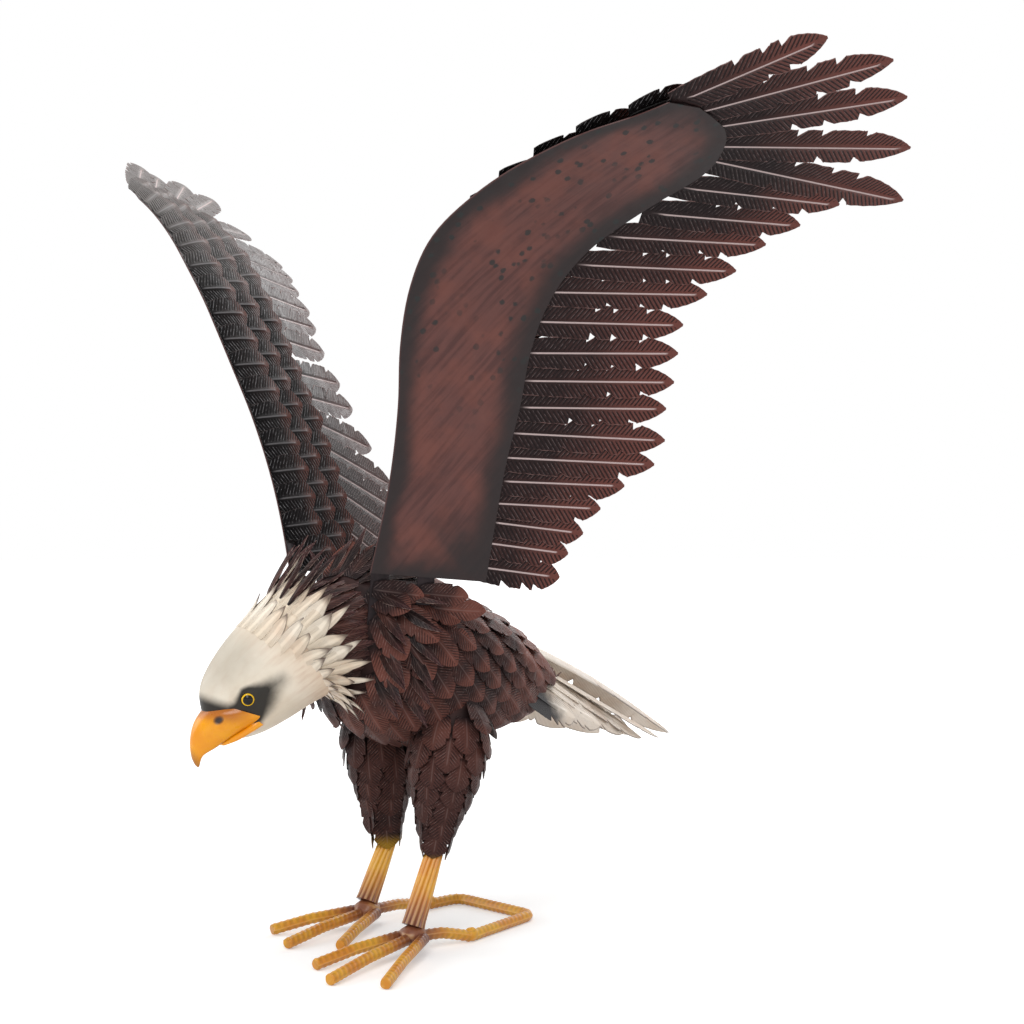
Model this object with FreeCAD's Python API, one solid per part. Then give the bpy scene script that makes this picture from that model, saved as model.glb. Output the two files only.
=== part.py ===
import FreeCAD, Part
import math
import os

Vector = FreeCAD.Vector

# Free-standing sheet-metal eagle, wings raised, head bent down and turned to its right.
# Millimetres and degrees. +X is the bird's left, it faces -Y, and the ground is z = 0.

# Sheets, gaps and overruns
plate_sheet = 1.0
feather_sheet = 0.8
shell_sheet = 1.2
seat_gap = 0.3
cut_overrun = 5.0

# Body shell: sections from the neck to the rump, across X, at places along Y
body_length = 270.0
body_front = -120.0
body_half_width = 74.0
body_height = 142.0
belly_height = 181.0
# Each row: place along the length, half width, top, bottom and widest level as shares
body_section_shares = [
    (0.00, 0.48, 0.98, 0.40, 0.65),
    (0.05, 0.74, 1.07, 0.27, 0.63),
    (0.12, 0.90, 1.09, 0.16, 0.59),
    (0.24, 1.00, 1.05, 0.05, 0.53),
    (0.40, 0.98, 0.95, 0.00, 0.48),
    (0.56, 0.90, 0.83, 0.00, 0.43),
    (0.72, 0.75, 0.69, 0.03, 0.38),
    (0.86, 0.55, 0.54, 0.10, 0.33),
    (1.00, 0.26, 0.40, 0.20, 0.30),
]
# Sines of the ring are raised to these powers, which square the shoulders a little
shoulder_roundness = 0.78
belly_roundness = 0.95

# Body feathers
body_feather_length = 46.0
body_feather_width = 25.0
body_row_pitch = 21.0
body_feather_rise = 6.5
body_row_ends = (0.05, 0.97)
breast_share = 0.20
back_slope = 0.55
body_flow_front = 62.0
body_flow_rear = 30.0

# Head shell, in the head's own frame: x forward from the collar, y up
head_collar_x = 0.0
head_collar_y = -118.0
head_collar_z = 261.0
head_turn = 22.0
head_pitch = 38.0
head_length = 121.0
head_depth = 112.0
head_width = 94.0
# Each row: place forward, crown, throat and half width as shares
head_section_shares = [
    (0.17, 0.69, -0.20, 0.48),
    (0.37, 0.69, -0.155, 0.44),
    (0.58, 0.655, -0.12, 0.385),
    (0.75, 0.605, -0.08, 0.305),
    (0.87, 0.55, -0.03, 0.22),
    (0.95, 0.48, 0.03, 0.16),
    (1.00, 0.39, 0.11, 0.11),
]

# Beak, in the head's frame, as shares of its own length and depth from the gape
beak_length = 64.0
beak_depth = 42.0
beak_width = 46.0
gape_x = 91.0
gape_y = -1.0
# Where between its bottom and its top a beak section is widest, and the powers of its roundness
beak_widest_share = 0.35
beak_roundness = (1.0, 0.5)
# Each row: top x, top y, bottom x, bottom y, half width
upper_beak_shares = [
    (0.30, 0.98, -0.06, 0.24, 0.51),
    (0.48, 1.00, 0.04, 0.22, 0.50),
    (0.69, 0.90, 0.38, 0.23, 0.36),
    (0.87, 0.67, 0.66, 0.26, 0.225),
    (0.98, 0.40, 0.86, 0.29, 0.12),
    (1.01, 0.19, 0.985, 0.14, 0.03),
]
lower_beak_shares = [
    (-0.04, 0.28, -0.08, 0.06, 0.50),
    (0.18, 0.27, 0.16, 0.07, 0.43),
    (0.41, 0.28, 0.38, 0.10, 0.32),
    (0.61, 0.28, 0.58, 0.19, 0.18),
]
eye_radius = 6.5
eye_forward_share = 0.746
eye_up_share = 0.272
eye_sink = 3.0

# Collar strips and hackles round the neck
collar_strips = 26
collar_strip_length = 46.0
collar_strip_width = 11.0
collar_flare_top = 5.0
collar_flare_throat = 62.0
collar_throat_share = 0.6
collar_lap_share = 0.06
hackle_strips = 26
hackle_length = 52.0
hackle_width = 9.5
hackle_rise = 11.0
hackle_row_shares = (0.05, 0.12)
hackle_throat_slope = -0.35
neck_hackle_shares = (0.30, 0.62, 0.90)
neck_hackle_rise = 5.0
neck_inside_share = 0.25
neck_clearance = 2.9

# Tail: a roof of narrow feathers, longest in the middle
tail_length = 300.0
tail_drop_share = 0.407
tail_half_width = 52.0
tail_root_share = 0.83
tail_root_rise_share = 0.62
tail_base_drop = 54.0
tail_base_step = 14.0
tail_base_spread_share = 0.9
tail_cover_share = 0.6
tail_roof = 62.0
tail_fold = 36.0
tail_feather_width = 36.0
# Each row: reach, spread and drop of a feather's tip and drop of its base, as shares
tail_tip_shares = [
    (0.915, 0.00, 1.02, 0.00),
    (0.769, 0.36, 1.017, 0.30),
    (0.63, 0.54, 0.975, 0.42),
    (0.49, 0.70, 0.90, 0.48),
    (0.325, 0.88, 0.79, 0.75),
    (0.165, 1.00, 0.69, 1.00),
]

# Thighs
thigh_spread = 54.0
thigh_top_height = 224.0
left_thigh_top_y = -20.0
right_thigh_top_y = -12.0
thigh_depth = 30.0
# Each row: place down the thigh and radius as shares
thigh_section_shares = [
    (0.0, 0.50), (0.10, 0.84), (0.28, 1.00), (0.48, 0.90), (0.70, 0.62), (0.89, 0.38), (1.0, 0.33),
]
thigh_feather_length = 35.0
thigh_feather_width = 21.0
thigh_row_pitch = 15.0
thigh_feather_rise = 6.0
thigh_row_ends = (0.08, 0.80)

# Legs: ankle centres on the ground plane, and where the fluted tube meets the thigh
left_ankle_x = 58.0
left_ankle_y = -79.0
right_ankle_x = -45.0
right_ankle_y = -34.0
ankle_height = 23.0
shank_lean = 27.0
left_shank_top = 84.0
right_shank_top = 74.0
shank_top_radius = 8.4
shank_foot_radius = 10.2
shank_flute_depth = 1.1
shank_flutes = 12
shank_bore_radius = 5.4
leg_rod_radius = 4.0

# Feet and base loop, all from one deformed bar
bar_diameter = 10.4
bar_bend = 14.0
bar_arc_share = 0.45
toe_splay = 11.5
toe_start_height = 14.0
toe_knee_height = 11.0
toe_knee_share = 0.55
weld_gap = 1.5
loop_weld_radius = 6.6
ankle_weld_radius = 13.0
ankle_weld_height = 15.5
left_toe_tips = ((38.6, -178.0), (83.7, -204.0), (127.0, -183.0))
right_toe_tips = ((-84.0, -117.0), (-34.0, -144.0), (6.6, -118.0))
left_loop_joint = (69.0, -15.0)
right_loop_joint = (-49.0, 56.0)
left_loop_corner = (55.5, 84.0)
right_loop_corner = (-46.0, 94.0)
hind_hump_height = 13.0
hind_hump_share = 0.45

# Wings: one sheet a side, bent about level lines that run back and outwards.
# The right one is bent by hand to other angles, and twisted a little.
wing_root_clearance = 11.0
left_root_out = 101.0
left_root_sweep = 26.0
left_hand_sweep = 26.0
left_root_lean = 14.0
left_wrist_lean = 19.0
left_hand_lean = 54.0
left_arm_run = 200.0
left_wrist_run = 185.0
right_root_out = 96.5
right_root_sweep = 19.9
right_hand_sweep = 29.5
right_root_lean = 14.6
right_wrist_lean = 25.5
right_hand_lean = 59.9
right_arm_run = 245.0
right_wrist_run = 174.0
plate_height = 460.0
plate_chord = 110.0
# Each row: front place along the chord and up the sheet, then rear place, as shares
plate_edge_shares = [
    (-0.82, 0.002, 0.17, -0.020),
    (-0.75, 0.124, 0.21, 0.124),
    (-0.72, 0.217, 0.24, 0.217),
    (-0.72, 0.326, 0.30, 0.326),
    (-0.755, 0.435, 0.33, 0.435),
    (-0.745, 0.554, 0.43, 0.543),
    (-0.655, 0.654, 0.64, 0.641),
    (-0.42, 0.746, 1.01, 0.739),
    (-0.13, 0.828, 1.33, 0.822),
    (0.20, 0.900, 1.39, 0.887),
    (0.55, 0.952, 1.31, 0.939),
    (0.76, 0.989, 1.02, 0.983),
]

# Flight feathers
flight_width = 31.0
finger_width = 35.0
flight_tuck = 16.0
flight_roll = 4.5
quill_radius = 1.3
quill_end_gap = 11.0
# Each row: start and tip of a secondary, along the chord and up the sheet, as shares
secondary_shares = [
    (0.17, 0.007, 0.82, -0.014),
    (0.12, 0.058, 0.875, 0.034),
    (0.22, 0.097, 0.99, 0.075),
    (0.23, 0.135, 1.12, 0.125),
    (0.28, 0.179, 1.315, 0.171),
    (0.24, 0.226, 1.56, 0.215),
    (0.30, 0.274, 1.63, 0.264),
    (0.35, 0.325, 1.60, 0.328),
    (0.345, 0.377, 1.635, 0.382),
    (0.34, 0.431, 1.63, 0.440),
    (0.36, 0.492, 1.63, 0.497),
    (0.41, 0.551, 1.78, 0.562),
    (0.66, 0.609, 1.98, 0.614),
    (0.85, 0.671, 2.16, 0.675),
    (1.14, 0.726, 2.395, 0.723),
    (1.305, 0.788, 2.65, 0.778),
]
# Rows as above for the five fingers, lowest first, with the tip's share off the sheet.
# The right fan is bent closer together.
left_finger_shares = [
    (1.37, 0.858, 3.21, 0.798, 0.00),
    (1.31, 0.893, 2.97, 0.931, 0.00),
    (1.27, 0.941, 2.66, 1.050, 0.00),
    (1.10, 0.975, 2.35, 1.130, 0.00),
    (0.92, 1.003, 1.72, 1.163, 0.00),
]
right_finger_shares = [
    (1.37, 0.862, 3.05, 0.910, 0.05),
    (1.31, 0.900, 2.95, 1.021, 0.19),
    (1.24, 0.935, 2.71, 1.080, 0.18),
    (1.10, 0.970, 2.44, 1.122, 0.134),
    (0.92, 0.995, 1.81, 1.103, 0.17),
]
# The lowest secondaries of the right wing hang further down: their tips, as above
right_low_tip_shares = [
    (0.92, -0.060), (1.15, -0.048), (1.36, -0.030), (1.56, 0.000), (1.75, 0.045),
    (1.84, 0.105), (1.80, 0.172), (1.66, 0.262), (1.64, 0.358), (1.63, 0.420),
]
right_start_rise_share = 0.02

# Coverts: three rows of short feathers over the feathered side of the plate
covert_length = 58.0
covert_width = 31.0
covert_pitch = 26.0
covert_rise = 10.0
covert_rows = 3
covert_first_share = 0.0305
covert_last_share = 0.94
covert_swing = 70.0
covert_swing_share = 0.63
covert_roll = 4.5

# Wing fastening: two tabs a side that rise from the body to studs behind the plate
tab_width = 16.0
tab_sheet = 1.5
tab_gap = 0.7
tab_top = 24.0
tab_foot = 50.0
tab_place_shares = (-0.73, -0.34)
stud_radius = 2.5
stud_length = 5.4
stud_height = 8.0
stud_fit = 0.3
nut_across = 8.0
nut_depth = 2.7
nut_clearance = 0.8

# Shoulder feathers on the outer faces of the tabs, two rows to a tab
shoulder_drop = 14.5
shoulder_droop = 5.0
shoulder_row_share = 0.375

# Leaf outlines: place along the feather and half width, as shares, from base to tip
leaf_shares = [
    (0.00, 0.30), (0.18, 0.78), (0.40, 1.00), (0.47, 0.80), (0.53, 1.00),
    (0.70, 0.96), (0.74, 0.74), (0.80, 0.84), (0.92, 0.50), (1.00, 0.00),
]
flight_shares = [
    (0.00, 0.70), (0.12, 0.92), (0.30, 0.97), (0.40, 1.00), (0.42, 0.78), (0.48, 1.00), (0.60, 1.00),
    (0.62, 0.76), (0.68, 0.98), (0.78, 0.93), (0.80, 0.66), (0.86, 0.76), (0.94, 0.44), (1.00, 0.00),
]
strip_shares = [(0.00, 1.00), (0.55, 0.90), (0.85, 0.55), (1.00, 0.00)]

# Places that follow the body
tail_base_y = body_front + body_length * tail_root_share
tail_base_z = belly_height + body_height * tail_root_rise_share
wing_root_height = belly_height + body_height + wing_root_clearance


def sine(angle):
    return math.sin(math.radians(angle))


def cosine(angle):
    return math.cos(math.radians(angle))


def tangent(angle):
    return math.tan(math.radians(angle))


def unit(vector):
    return Vector(vector).normalize()


def save(name, shapes):
    shape = shapes if isinstance(shapes, Part.Shape) else Part.Compound(list(shapes))
    shape.exportStep("parts/" + name + ".step")
    print(name, len(shape.Solids), "solids", "valid" if shape.isValid() else "NOT VALID")


def flat_leaf(base, tip, face, width, outline, thickness=feather_sheet):
    """Flat feather from base to tip whose outer side looks along face."""
    along = tip - base
    ahead = unit(along)
    side = unit(face.cross(ahead))
    out = unit(ahead.cross(side))
    left = [base + along * x + side * (width * y / 2) for x, y in outline]
    right = [base + along * x - side * (width * y / 2) for x, y in reversed(outline) if y > 0]
    points = left + right
    return Part.Face(Part.makePolygon(points + points[:1])).extrude(out * thickness)


def ring(centre, across, upward, half_width, above, below, roundness=(1.0, 1.0)):
    """Closed smooth ring; above and below are its reach along upward from the centre."""
    count = 16
    points = []
    for step in range(count):
        turn = 2 * math.pi * step / count
        x, y = math.cos(turn), math.sin(turn)
        power = roundness[0] if y > 0 else roundness[1]
        x = math.copysign(abs(x) ** power, x) * half_width
        y = math.copysign(abs(y) ** power, y) * (above if y > 0 else below)
        points.append(centre + across * x + upward * y)
    curve = Part.BSplineCurve()
    curve.interpolate(Points=points, PeriodicFlag=True)
    return Part.Wire([curve.toShape()])


def side_face(solid):
    """The face of a loft that is not one of its two flat ends."""
    return max(solid.Faces, key=lambda face: face.Area)


# Body shell

def body_section(share_row, inset):
    place, width, top, bottom, level = share_row
    centre = Vector(0, body_front + body_length * place, belly_height + body_height * level)
    return ring(
        centre, Vector(1, 0, 0), Vector(0, 0, 1),
        body_half_width * width - inset,
        body_height * (top - level) - inset,
        body_height * (level - bottom) - inset,
        (shoulder_roundness, belly_roundness),
    )


def body_loft(inset):
    return Part.makeLoft([body_section(row, inset) for row in body_section_shares], True)


def body_shells(outer):
    inner = body_loft(shell_sheet)
    shell = outer.cut(inner)
    room = 2 * (body_length + body_height)
    halves = []
    for side in (1, -1):
        corner = Vector(seat_gap / 2 if side > 0 else -seat_gap / 2 - room, -room, -room)
        halves.append(shell.common(Part.makeBox(room, 2 * room, 2 * room, corner)))
    return halves


# Feathers laid on a lofted surface

def surface_point(face, around, along):
    """Point and outward normal at shares around and along a loft's side face."""
    u0, u1, v0, v1 = face.ParameterRange
    u, v = u0 + (u1 - u0) * around, v0 + (v1 - v0) * along
    return face.valueAt(u, v), face.normalAt(u, v)


def row_length(face, along):
    samples = 16
    ring_points = [surface_point(face, step / samples, along)[0] for step in range(samples + 1)]
    return sum((b - a).Length for a, b in zip(ring_points, ring_points[1:]))


def laid_feather(point, normal, flow, length, width, rise, outline):
    """Feather with its base on the surface, its tip raised, pointing along flow."""
    ahead = flow - normal * flow.dot(normal)
    ahead = unit(ahead)
    base = point + normal * seat_gap
    tip = base + unit(ahead * length + normal * rise) * length
    return flat_leaf(base, tip, normal, width, outline)


def row_places(face, rows, width):
    """Points and normals of half-lapped rows of feathers, a width apart round the face."""
    places = []
    for index, along in enumerate(rows):
        count = int(row_length(face, along) / width)
        for step in range(count):
            places.append(surface_point(face, (step + index % 2 / 2) / count, along))
    return places


def even_rows(face, ends, pitch):
    """Shares along the face, about a pitch apart on its length."""
    first, last = ends
    steps = 16
    line = [surface_point(face, 0, step / steps)[0] for step in range(steps + 1)]
    length = sum((b - a).Length for a, b in zip(line, line[1:]))
    count = max(2, int(length * (last - first) / pitch))
    return [first + (last - first) * step / count for step in range(count + 1)]


def body_flow(point):
    """Direction of the feathers on the body: rearwards, and down on its sides."""
    share = (point.y - body_front) / body_length
    angle = body_flow_front + (body_flow_rear - body_flow_front) * min(max(share, 0.0), 1.0)
    side = min(abs(point.x) / body_half_width, 1.0)
    return Vector(0, cosine(angle), -side * sine(angle))


def body_feather_groups(face, cones):
    """Named groups of body feathers, left off where a thigh covers the body."""
    groups = {}
    rows = even_rows(face, body_row_ends, body_row_pitch)
    for point, normal in row_places(face, rows, body_feather_width):
        if any(cone.isInside(point, seat_gap, False) for cone in cones):
            continue
        if point.y < body_front + body_length * breast_share:
            name = "breast"
        elif normal.z > back_slope:
            if point.y > tail_base_y - body_feather_length * tail_cover_share:
                continue
            name = "back"
        elif normal.z < -back_slope:
            name = "belly"
        else:
            name = "flank_left" if point.x > 0 else "flank_right"
        groups.setdefault(name, []).append(laid_feather(
            point, normal, body_flow(point), body_feather_length, body_feather_width, body_feather_rise,
            leaf_shares))
    return groups


# Head

def head_frame():
    level = cosine(head_pitch)
    ahead = Vector(-sine(head_turn) * level, -cosine(head_turn) * level, -sine(head_pitch))
    left = Vector(cosine(head_turn), -sine(head_turn), 0)
    upward = unit(left.cross(ahead)) * -1
    return Vector(head_collar_x, head_collar_y, head_collar_z), ahead, upward, left


def head_point(x, y, z):
    """x forward, y up and z to the bird's left, in the head's frame."""
    origin, ahead, upward, left = head_frame()
    return origin + ahead * x + upward * y + left * z


def head_loft(inset):
    origin, ahead, upward, left = head_frame()
    wires = []
    for place, crown, throat, half in head_section_shares:
        middle = (crown + throat) / 2
        reach = head_depth * (crown - throat) / 2 - inset
        centre = head_point(head_length * place, head_depth * middle, 0)
        wires.append(ring(centre, left, upward, head_width * half - inset, reach, reach))
    return Part.makeLoft(wires, True)


def beak_piece(rows):
    origin, ahead, upward, left = head_frame()
    wires = []
    for top_x, top_y, low_x, low_y, half in rows:
        top = head_point(gape_x + beak_length * top_x, gape_y + beak_depth * top_y, 0)
        low = head_point(gape_x + beak_length * low_x, gape_y + beak_depth * low_y, 0)
        span = top - low
        below = span.Length * beak_widest_share
        wires.append(ring(
            low + span * beak_widest_share, left, unit(span),
            beak_width * half, span.Length - below, below, beak_roundness))
    return Part.makeLoft(wires, True)


def head_half_width(place):
    for (low, _, _, a), (high, _, _, b) in zip(head_section_shares, head_section_shares[1:]):
        if place <= high:
            return head_width * (a + (b - a) * (place - low) / (high - low))
    return head_width * head_section_shares[-1][3]


def eye(side, head_outer):
    across = head_half_width(eye_forward_share) - eye_sink
    centre = head_point(head_length * eye_forward_share, head_depth * eye_up_share, side * across)
    return Part.makeSphere(eye_radius, centre).cut(head_outer)


def collar(head_face):
    """Pointed strips from the rear rim of the head shell, flared out over the shoulders."""
    origin, ahead, upward, left = head_frame()
    strips = []
    for step in range(collar_strips):
        point, normal = surface_point(head_face, step / collar_strips, collar_lap_share)
        level = (normal.dot(upward) + 1) / 2
        flare = collar_flare_top + (collar_flare_throat - collar_flare_top) * (1 - level) ** 2
        base = point + normal * seat_gap
        length = collar_strip_length * (collar_throat_share + (1 - collar_throat_share) * level)
        tip = base + unit(ahead * -cosine(flare) + normal * sine(flare)) * length
        strips.append(flat_leaf(base, tip, normal, collar_strip_width, strip_shares))
    return strips


def neck_loft(inset):
    """Cone from just inside the head shell's rear rim to the front rim of the body shell."""
    origin, ahead, upward, left = head_frame()
    crown, throat, half = head_section_shares[0][1:]
    reach = head_depth * (crown - throat) / 2 - neck_clearance - inset
    centre = head_point(head_length * neck_inside_share, head_depth * (crown + throat) / 2, 0)
    start = ring(centre, left, upward, head_width * half - neck_clearance - inset, reach, reach)
    return Part.makeLoft([start, body_section(body_section_shares[0], inset)], True)


def hackles(body_face, neck_face):
    """Pointed strips round the neck cone and over the shoulders."""
    strips = []
    for row, along in enumerate(neck_hackle_shares):
        for step in range(hackle_strips):
            around = (step + row % 2 / 2) / hackle_strips
            point, normal = surface_point(neck_face, around, along)
            flow = surface_point(neck_face, around, 1)[0] - surface_point(neck_face, around, 0)[0]
            if flow.Length > hackle_length / 2:
                strips.append(laid_feather(
                    point, normal, flow, hackle_length, hackle_width, neck_hackle_rise, strip_shares))
    for row, along in enumerate(hackle_row_shares):
        for step in range(hackle_strips):
            point, normal = surface_point(body_face, (step + row / 2) / hackle_strips, along)
            if normal.z > hackle_throat_slope:
                strips.append(laid_feather(
                    point, normal, body_flow(point), hackle_length, hackle_width, hackle_rise, strip_shares))
    return strips


# Wing sheet

def wing_sizes(side):
    """Distance out, sweep at the root and hand, and leans and runs of a wing's bend."""
    if side > 0:
        return (left_root_out, left_root_sweep, left_hand_sweep, left_root_lean,
                ((left_arm_run, left_wrist_lean), (left_wrist_run, left_hand_lean)))
    return (right_root_out, right_root_sweep, right_hand_sweep, right_root_lean,
            ((right_arm_run, right_wrist_lean), (right_wrist_run, right_hand_lean)))


def wing_section(side, height):
    """Distance out, level, lean and sweep of the sheet at a length measured up it."""
    out, root_sweep, hand_sweep, lean, bends = wing_sizes(side)
    level = wing_root_height
    whole = sum(run for run, end in bends)
    sweep = root_sweep + (hand_sweep - root_sweep) * min(max(height, 0.0), whole) / whole
    left_over = height
    if height > 0:
        for run, end in bends:
            length = min(left_over, run)
            turned = lean + (end - lean) * length / run
            radius = run / math.radians(end - lean)
            out += radius * (cosine(lean) - cosine(turned))
            level += radius * (sine(turned) - sine(lean))
            lean = turned
            left_over -= length
            if left_over <= 0:
                return out, level, lean, sweep
    return out + left_over * sine(lean), level + left_over * cosine(lean), lean, sweep


def wing_axes(side, height):
    """Directions at a height up the sheet: back along it, up it, and out of its feathered side."""
    lean, sweep = wing_section(side, height)[2:]
    back = Vector(side * sine(sweep), cosine(sweep), 0)
    outward = Vector(side * cosine(sweep), -sine(sweep), 0)
    upward = outward * sine(lean) + Vector(0, 0, cosine(lean))
    inner = outward * -cosine(lean) + Vector(0, 0, sine(lean))
    return back, upward, inner


def wing_point(side, chord, height, lift=0.0):
    out, level, lean, sweep = wing_section(side, height)
    back, upward, inner = wing_axes(side, height)
    outward = Vector(side * cosine(sweep), -sine(sweep), 0)
    return back * chord + outward * out + Vector(0, 0, level) + inner * lift


def smooth_edge(points):
    curve = Part.BSplineCurve()
    curve.interpolate(Points=points)
    return curve.toShape()


def wing_plate(side):
    """Sheet between its front and rear edge curves, with the thickness on the feathered side."""
    lines = []
    for lift, front in ((0.0, True), (0.0, False), (plate_sheet, False), (plate_sheet, True)):
        places = [row[:2] if front else row[2:] for row in plate_edge_shares]
        lines.append([wing_point(side, plate_chord * s, plate_height * v, lift) for s, v in places])
    edges = [smooth_edge(points) for points in lines]
    faces = [Part.makeRuledSurface(a, b) for a, b in zip(edges, edges[1:] + edges[:1])]
    for end in (0, -1):
        corners = [points[end] for points in lines]
        faces.append(Part.makeFilledFace(Part.makePolygon(corners + corners[:1]).Edges))
    shell = Part.makeShell(faces)
    shell.sewShape()
    solid = Part.makeSolid(shell)
    if solid.Volume < 0:
        solid.reverse()
    return solid


def secondary_rows(side):
    """Starts and tips of the secondaries, which hang lower on the right wing."""
    if side > 0:
        return secondary_shares
    lowest = len(right_low_tip_shares)
    rows = [start[:2] + tip for start, tip in zip(secondary_shares, right_low_tip_shares)]
    return rows + [(s, v + right_start_rise_share, a, b) for s, v, a, b in secondary_shares[lowest:]]


def flight_feather(side, row, width):
    """Stamped feather tucked behind the plate, with a quill that starts at the plate's edge."""
    start_s, start_v, tip_s, tip_v = row[:4]
    lift = seated_lift(width, flight_shares[1][1], flight_roll)
    bend = plate_chord * row[4] if len(row) > 4 else 0.0
    tip = wing_point(side, plate_chord * tip_s, plate_height * tip_v, bend)
    start = wing_point(side, plate_chord * start_s, plate_height * start_v, lift)
    lift += bend * flight_tuck / (tip - start).Length
    start = wing_point(side, plate_chord * start_s, plate_height * start_v, lift)
    inner = wing_axes(side, plate_height * (start_v + tip_v) / 2)[2]
    ahead = unit(tip - start)
    across = unit(inner.cross(ahead))
    face = unit(ahead.cross(across)) + across * tangent(flight_roll) * side
    leaf = flat_leaf(start - ahead * flight_tuck, tip, face, width, flight_shares)
    axis_start = start + ahead * quill_end_gap / 2 + unit(face) * (feather_sheet / 2)
    quill = Part.makeCylinder(quill_radius, (tip - start).Length - 2 * quill_end_gap, axis_start, ahead)
    return leaf.fuse(quill)


def seated_lift(width, base_share, roll):
    """How far off the sheet a rolled feather's axis starts, so that its low edge just clears it."""
    return plate_sheet + seat_gap + width / 2 * base_share * sine(roll)


def plate_edge_at(height, front):
    """Place along the chord of the plate's front or rear edge at a height up the sheet."""
    column = (0, 1) if front else (2, 3)
    points = [(plate_height * row[column[1]], plate_chord * row[column[0]]) for row in plate_edge_shares]
    for (low, a), (high, b) in zip(points, points[1:]):
        if height <= high:
            return a + (b - a) * (height - low) / (high - low)
    return points[-1][1]


def covert_row(side, row_index):
    leaves = []
    lift = seated_lift(covert_width, leaf_shares[0][1], covert_roll)
    first = plate_height * covert_first_share
    count = int((plate_height * covert_last_share - first) / covert_pitch)
    first_nut, last_nut = [plate_chord * share for share in tab_place_shares]
    tab_seats = (first_nut + nut_across / 2 / cosine(30) + nut_clearance, last_nut - tab_width / 2)
    for step in range(count + 1):
        height = first + covert_pitch * (step + row_index % 2 / 2)
        front = plate_edge_at(height, True)
        rear = plate_edge_at(height, False)
        start = front + seat_gap + (rear - front) / covert_rows * row_index
        over_tab = height - covert_width / 2 < tab_top and start < last_nut + tab_width / 2
        if over_tab:
            start = tab_seats[row_index] + seat_gap
        swing = covert_swing * max(0.0, height / plate_height - covert_swing_share)
        back, upward, inner = wing_axes(side, height)
        ahead = back * cosine(swing) + upward * sine(swing)
        base = wing_point(side, start, height, lift + (tab_gap + tab_sheet if over_tab else 0.0))
        tip = base + unit(ahead * covert_length + inner * covert_rise) * covert_length
        face = inner + unit(inner.cross(ahead)) * tangent(covert_roll) * side
        leaves.append(flat_leaf(base, tip, face, covert_width, leaf_shares))
    return leaves


# Wing fastening

def hexagon_prism(centre, axis, across_flats, depth):
    radius = across_flats / 2 / cosine(30)
    first = unit(axis.cross(Vector(0, 0, 1)))
    second = unit(axis.cross(first))
    points = [centre + first * radius * cosine(60 * k) + second * radius * sine(60 * k) for k in range(6)]
    return Part.Face(Part.makePolygon(points + points[:1])).extrude(unit(axis) * depth)


def wing_fastening(side, body):
    """Tabs that stand on the body shell, studs welded behind the plate, and their nuts."""
    tabs, studs, nuts = [], [], []
    back, upward, inner = wing_axes(side, 0)
    for share in tab_place_shares:
        chord = plate_chord * share
        corner = wing_point(side, chord - tab_width / 2, -tab_foot, plate_sheet + tab_gap)
        edge = [corner, corner + back * tab_width]
        edge += [edge[1] + upward * (tab_foot + tab_top), corner + upward * (tab_foot + tab_top)]
        tab = Part.Face(Part.makePolygon(edge + edge[:1])).extrude(inner * tab_sheet)
        seat = wing_point(side, chord, stud_height, plate_sheet)
        back_h, upward_h, inner_h = wing_axes(side, stud_height)
        hole = Part.makeCylinder(stud_radius + stud_fit, stud_length + cut_overrun, seat, inner_h)
        tabs.append(tab.cut(hole).cut(body))
        studs.append(Part.makeCylinder(stud_radius, stud_length, seat, inner_h))
        nut_seat = seat + inner_h * (tab_gap + tab_sheet + seat_gap)
        nut = hexagon_prism(nut_seat, inner_h, nut_across, nut_depth)
        nuts.append(nut.cut(Part.makeCylinder(stud_radius, stud_length, seat, inner_h)))
    return tabs, studs, nuts


def plate_foot_at(chord):
    """Height up the sheet of the plate's bottom edge at a place along the chord."""
    front_s, front_v, rear_s, rear_v = plate_edge_shares[0]
    share = (chord / plate_chord - front_s) / (rear_s - front_s)
    return plate_height * (front_v + (rear_v - front_v) * share)


def shoulder_feathers(side, body):
    """Feathers from the plate's bottom edge down to the body, over the outer faces of the tabs."""
    lift = plate_sheet + tab_gap - seat_gap
    leaves = []
    for share in tab_place_shares:
        for row in range(2):
            chord = plate_chord * share + tab_width * shoulder_row_share * (2 * row - 1)
            for step in range(2):
                height = plate_foot_at(chord) - shoulder_drop - body_feather_width * (step + row / 2)
                back, upward, inner = wing_axes(side, height)
                ahead = back * cosine(shoulder_droop) - upward * sine(shoulder_droop)
                base = wing_point(side, chord, height, lift)
                tip = base + unit(ahead * body_feather_length - inner * body_feather_rise) * body_feather_length
                leaf = flat_leaf(base, tip, inner * -1, body_feather_width, leaf_shares)
                if leaf.common(body).Volume == 0:
                    leaves.append(leaf)
    return leaves


# Legs and feet

def bar(points, radius=bar_diameter / 2, bend=bar_bend):
    """Round bar through the points, with a tangent arc at each inner point."""
    edges = []
    start = points[0]
    for before, corner, after in zip(points, points[1:], points[2:]):
        back = unit(before - corner)
        ahead = unit(after - corner)
        half = back.getAngle(ahead) / 2
        shorter = min((before - corner).Length, (after - corner).Length)
        reach = min(bend / math.tan(half), shorter * bar_arc_share)
        arc_start = corner + back * reach
        arc_end = corner + ahead * reach
        arc_radius = reach * math.tan(half)
        centre = corner + unit(back + ahead) * (arc_radius / math.sin(half))
        middle = centre + unit(corner - centre) * arc_radius
        edges.append(Part.LineSegment(start, arc_start).toShape())
        edges.append(Part.Arc(arc_start, middle, arc_end).toShape())
        start = arc_end
    edges.append(Part.LineSegment(start, points[-1]).toShape())
    path = Part.Wire(edges)
    profile = Part.Wire([Part.Circle(points[0], unit(points[1] - points[0]), radius).toShape()])
    return path.makePipeShell([profile], True, True)


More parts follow.
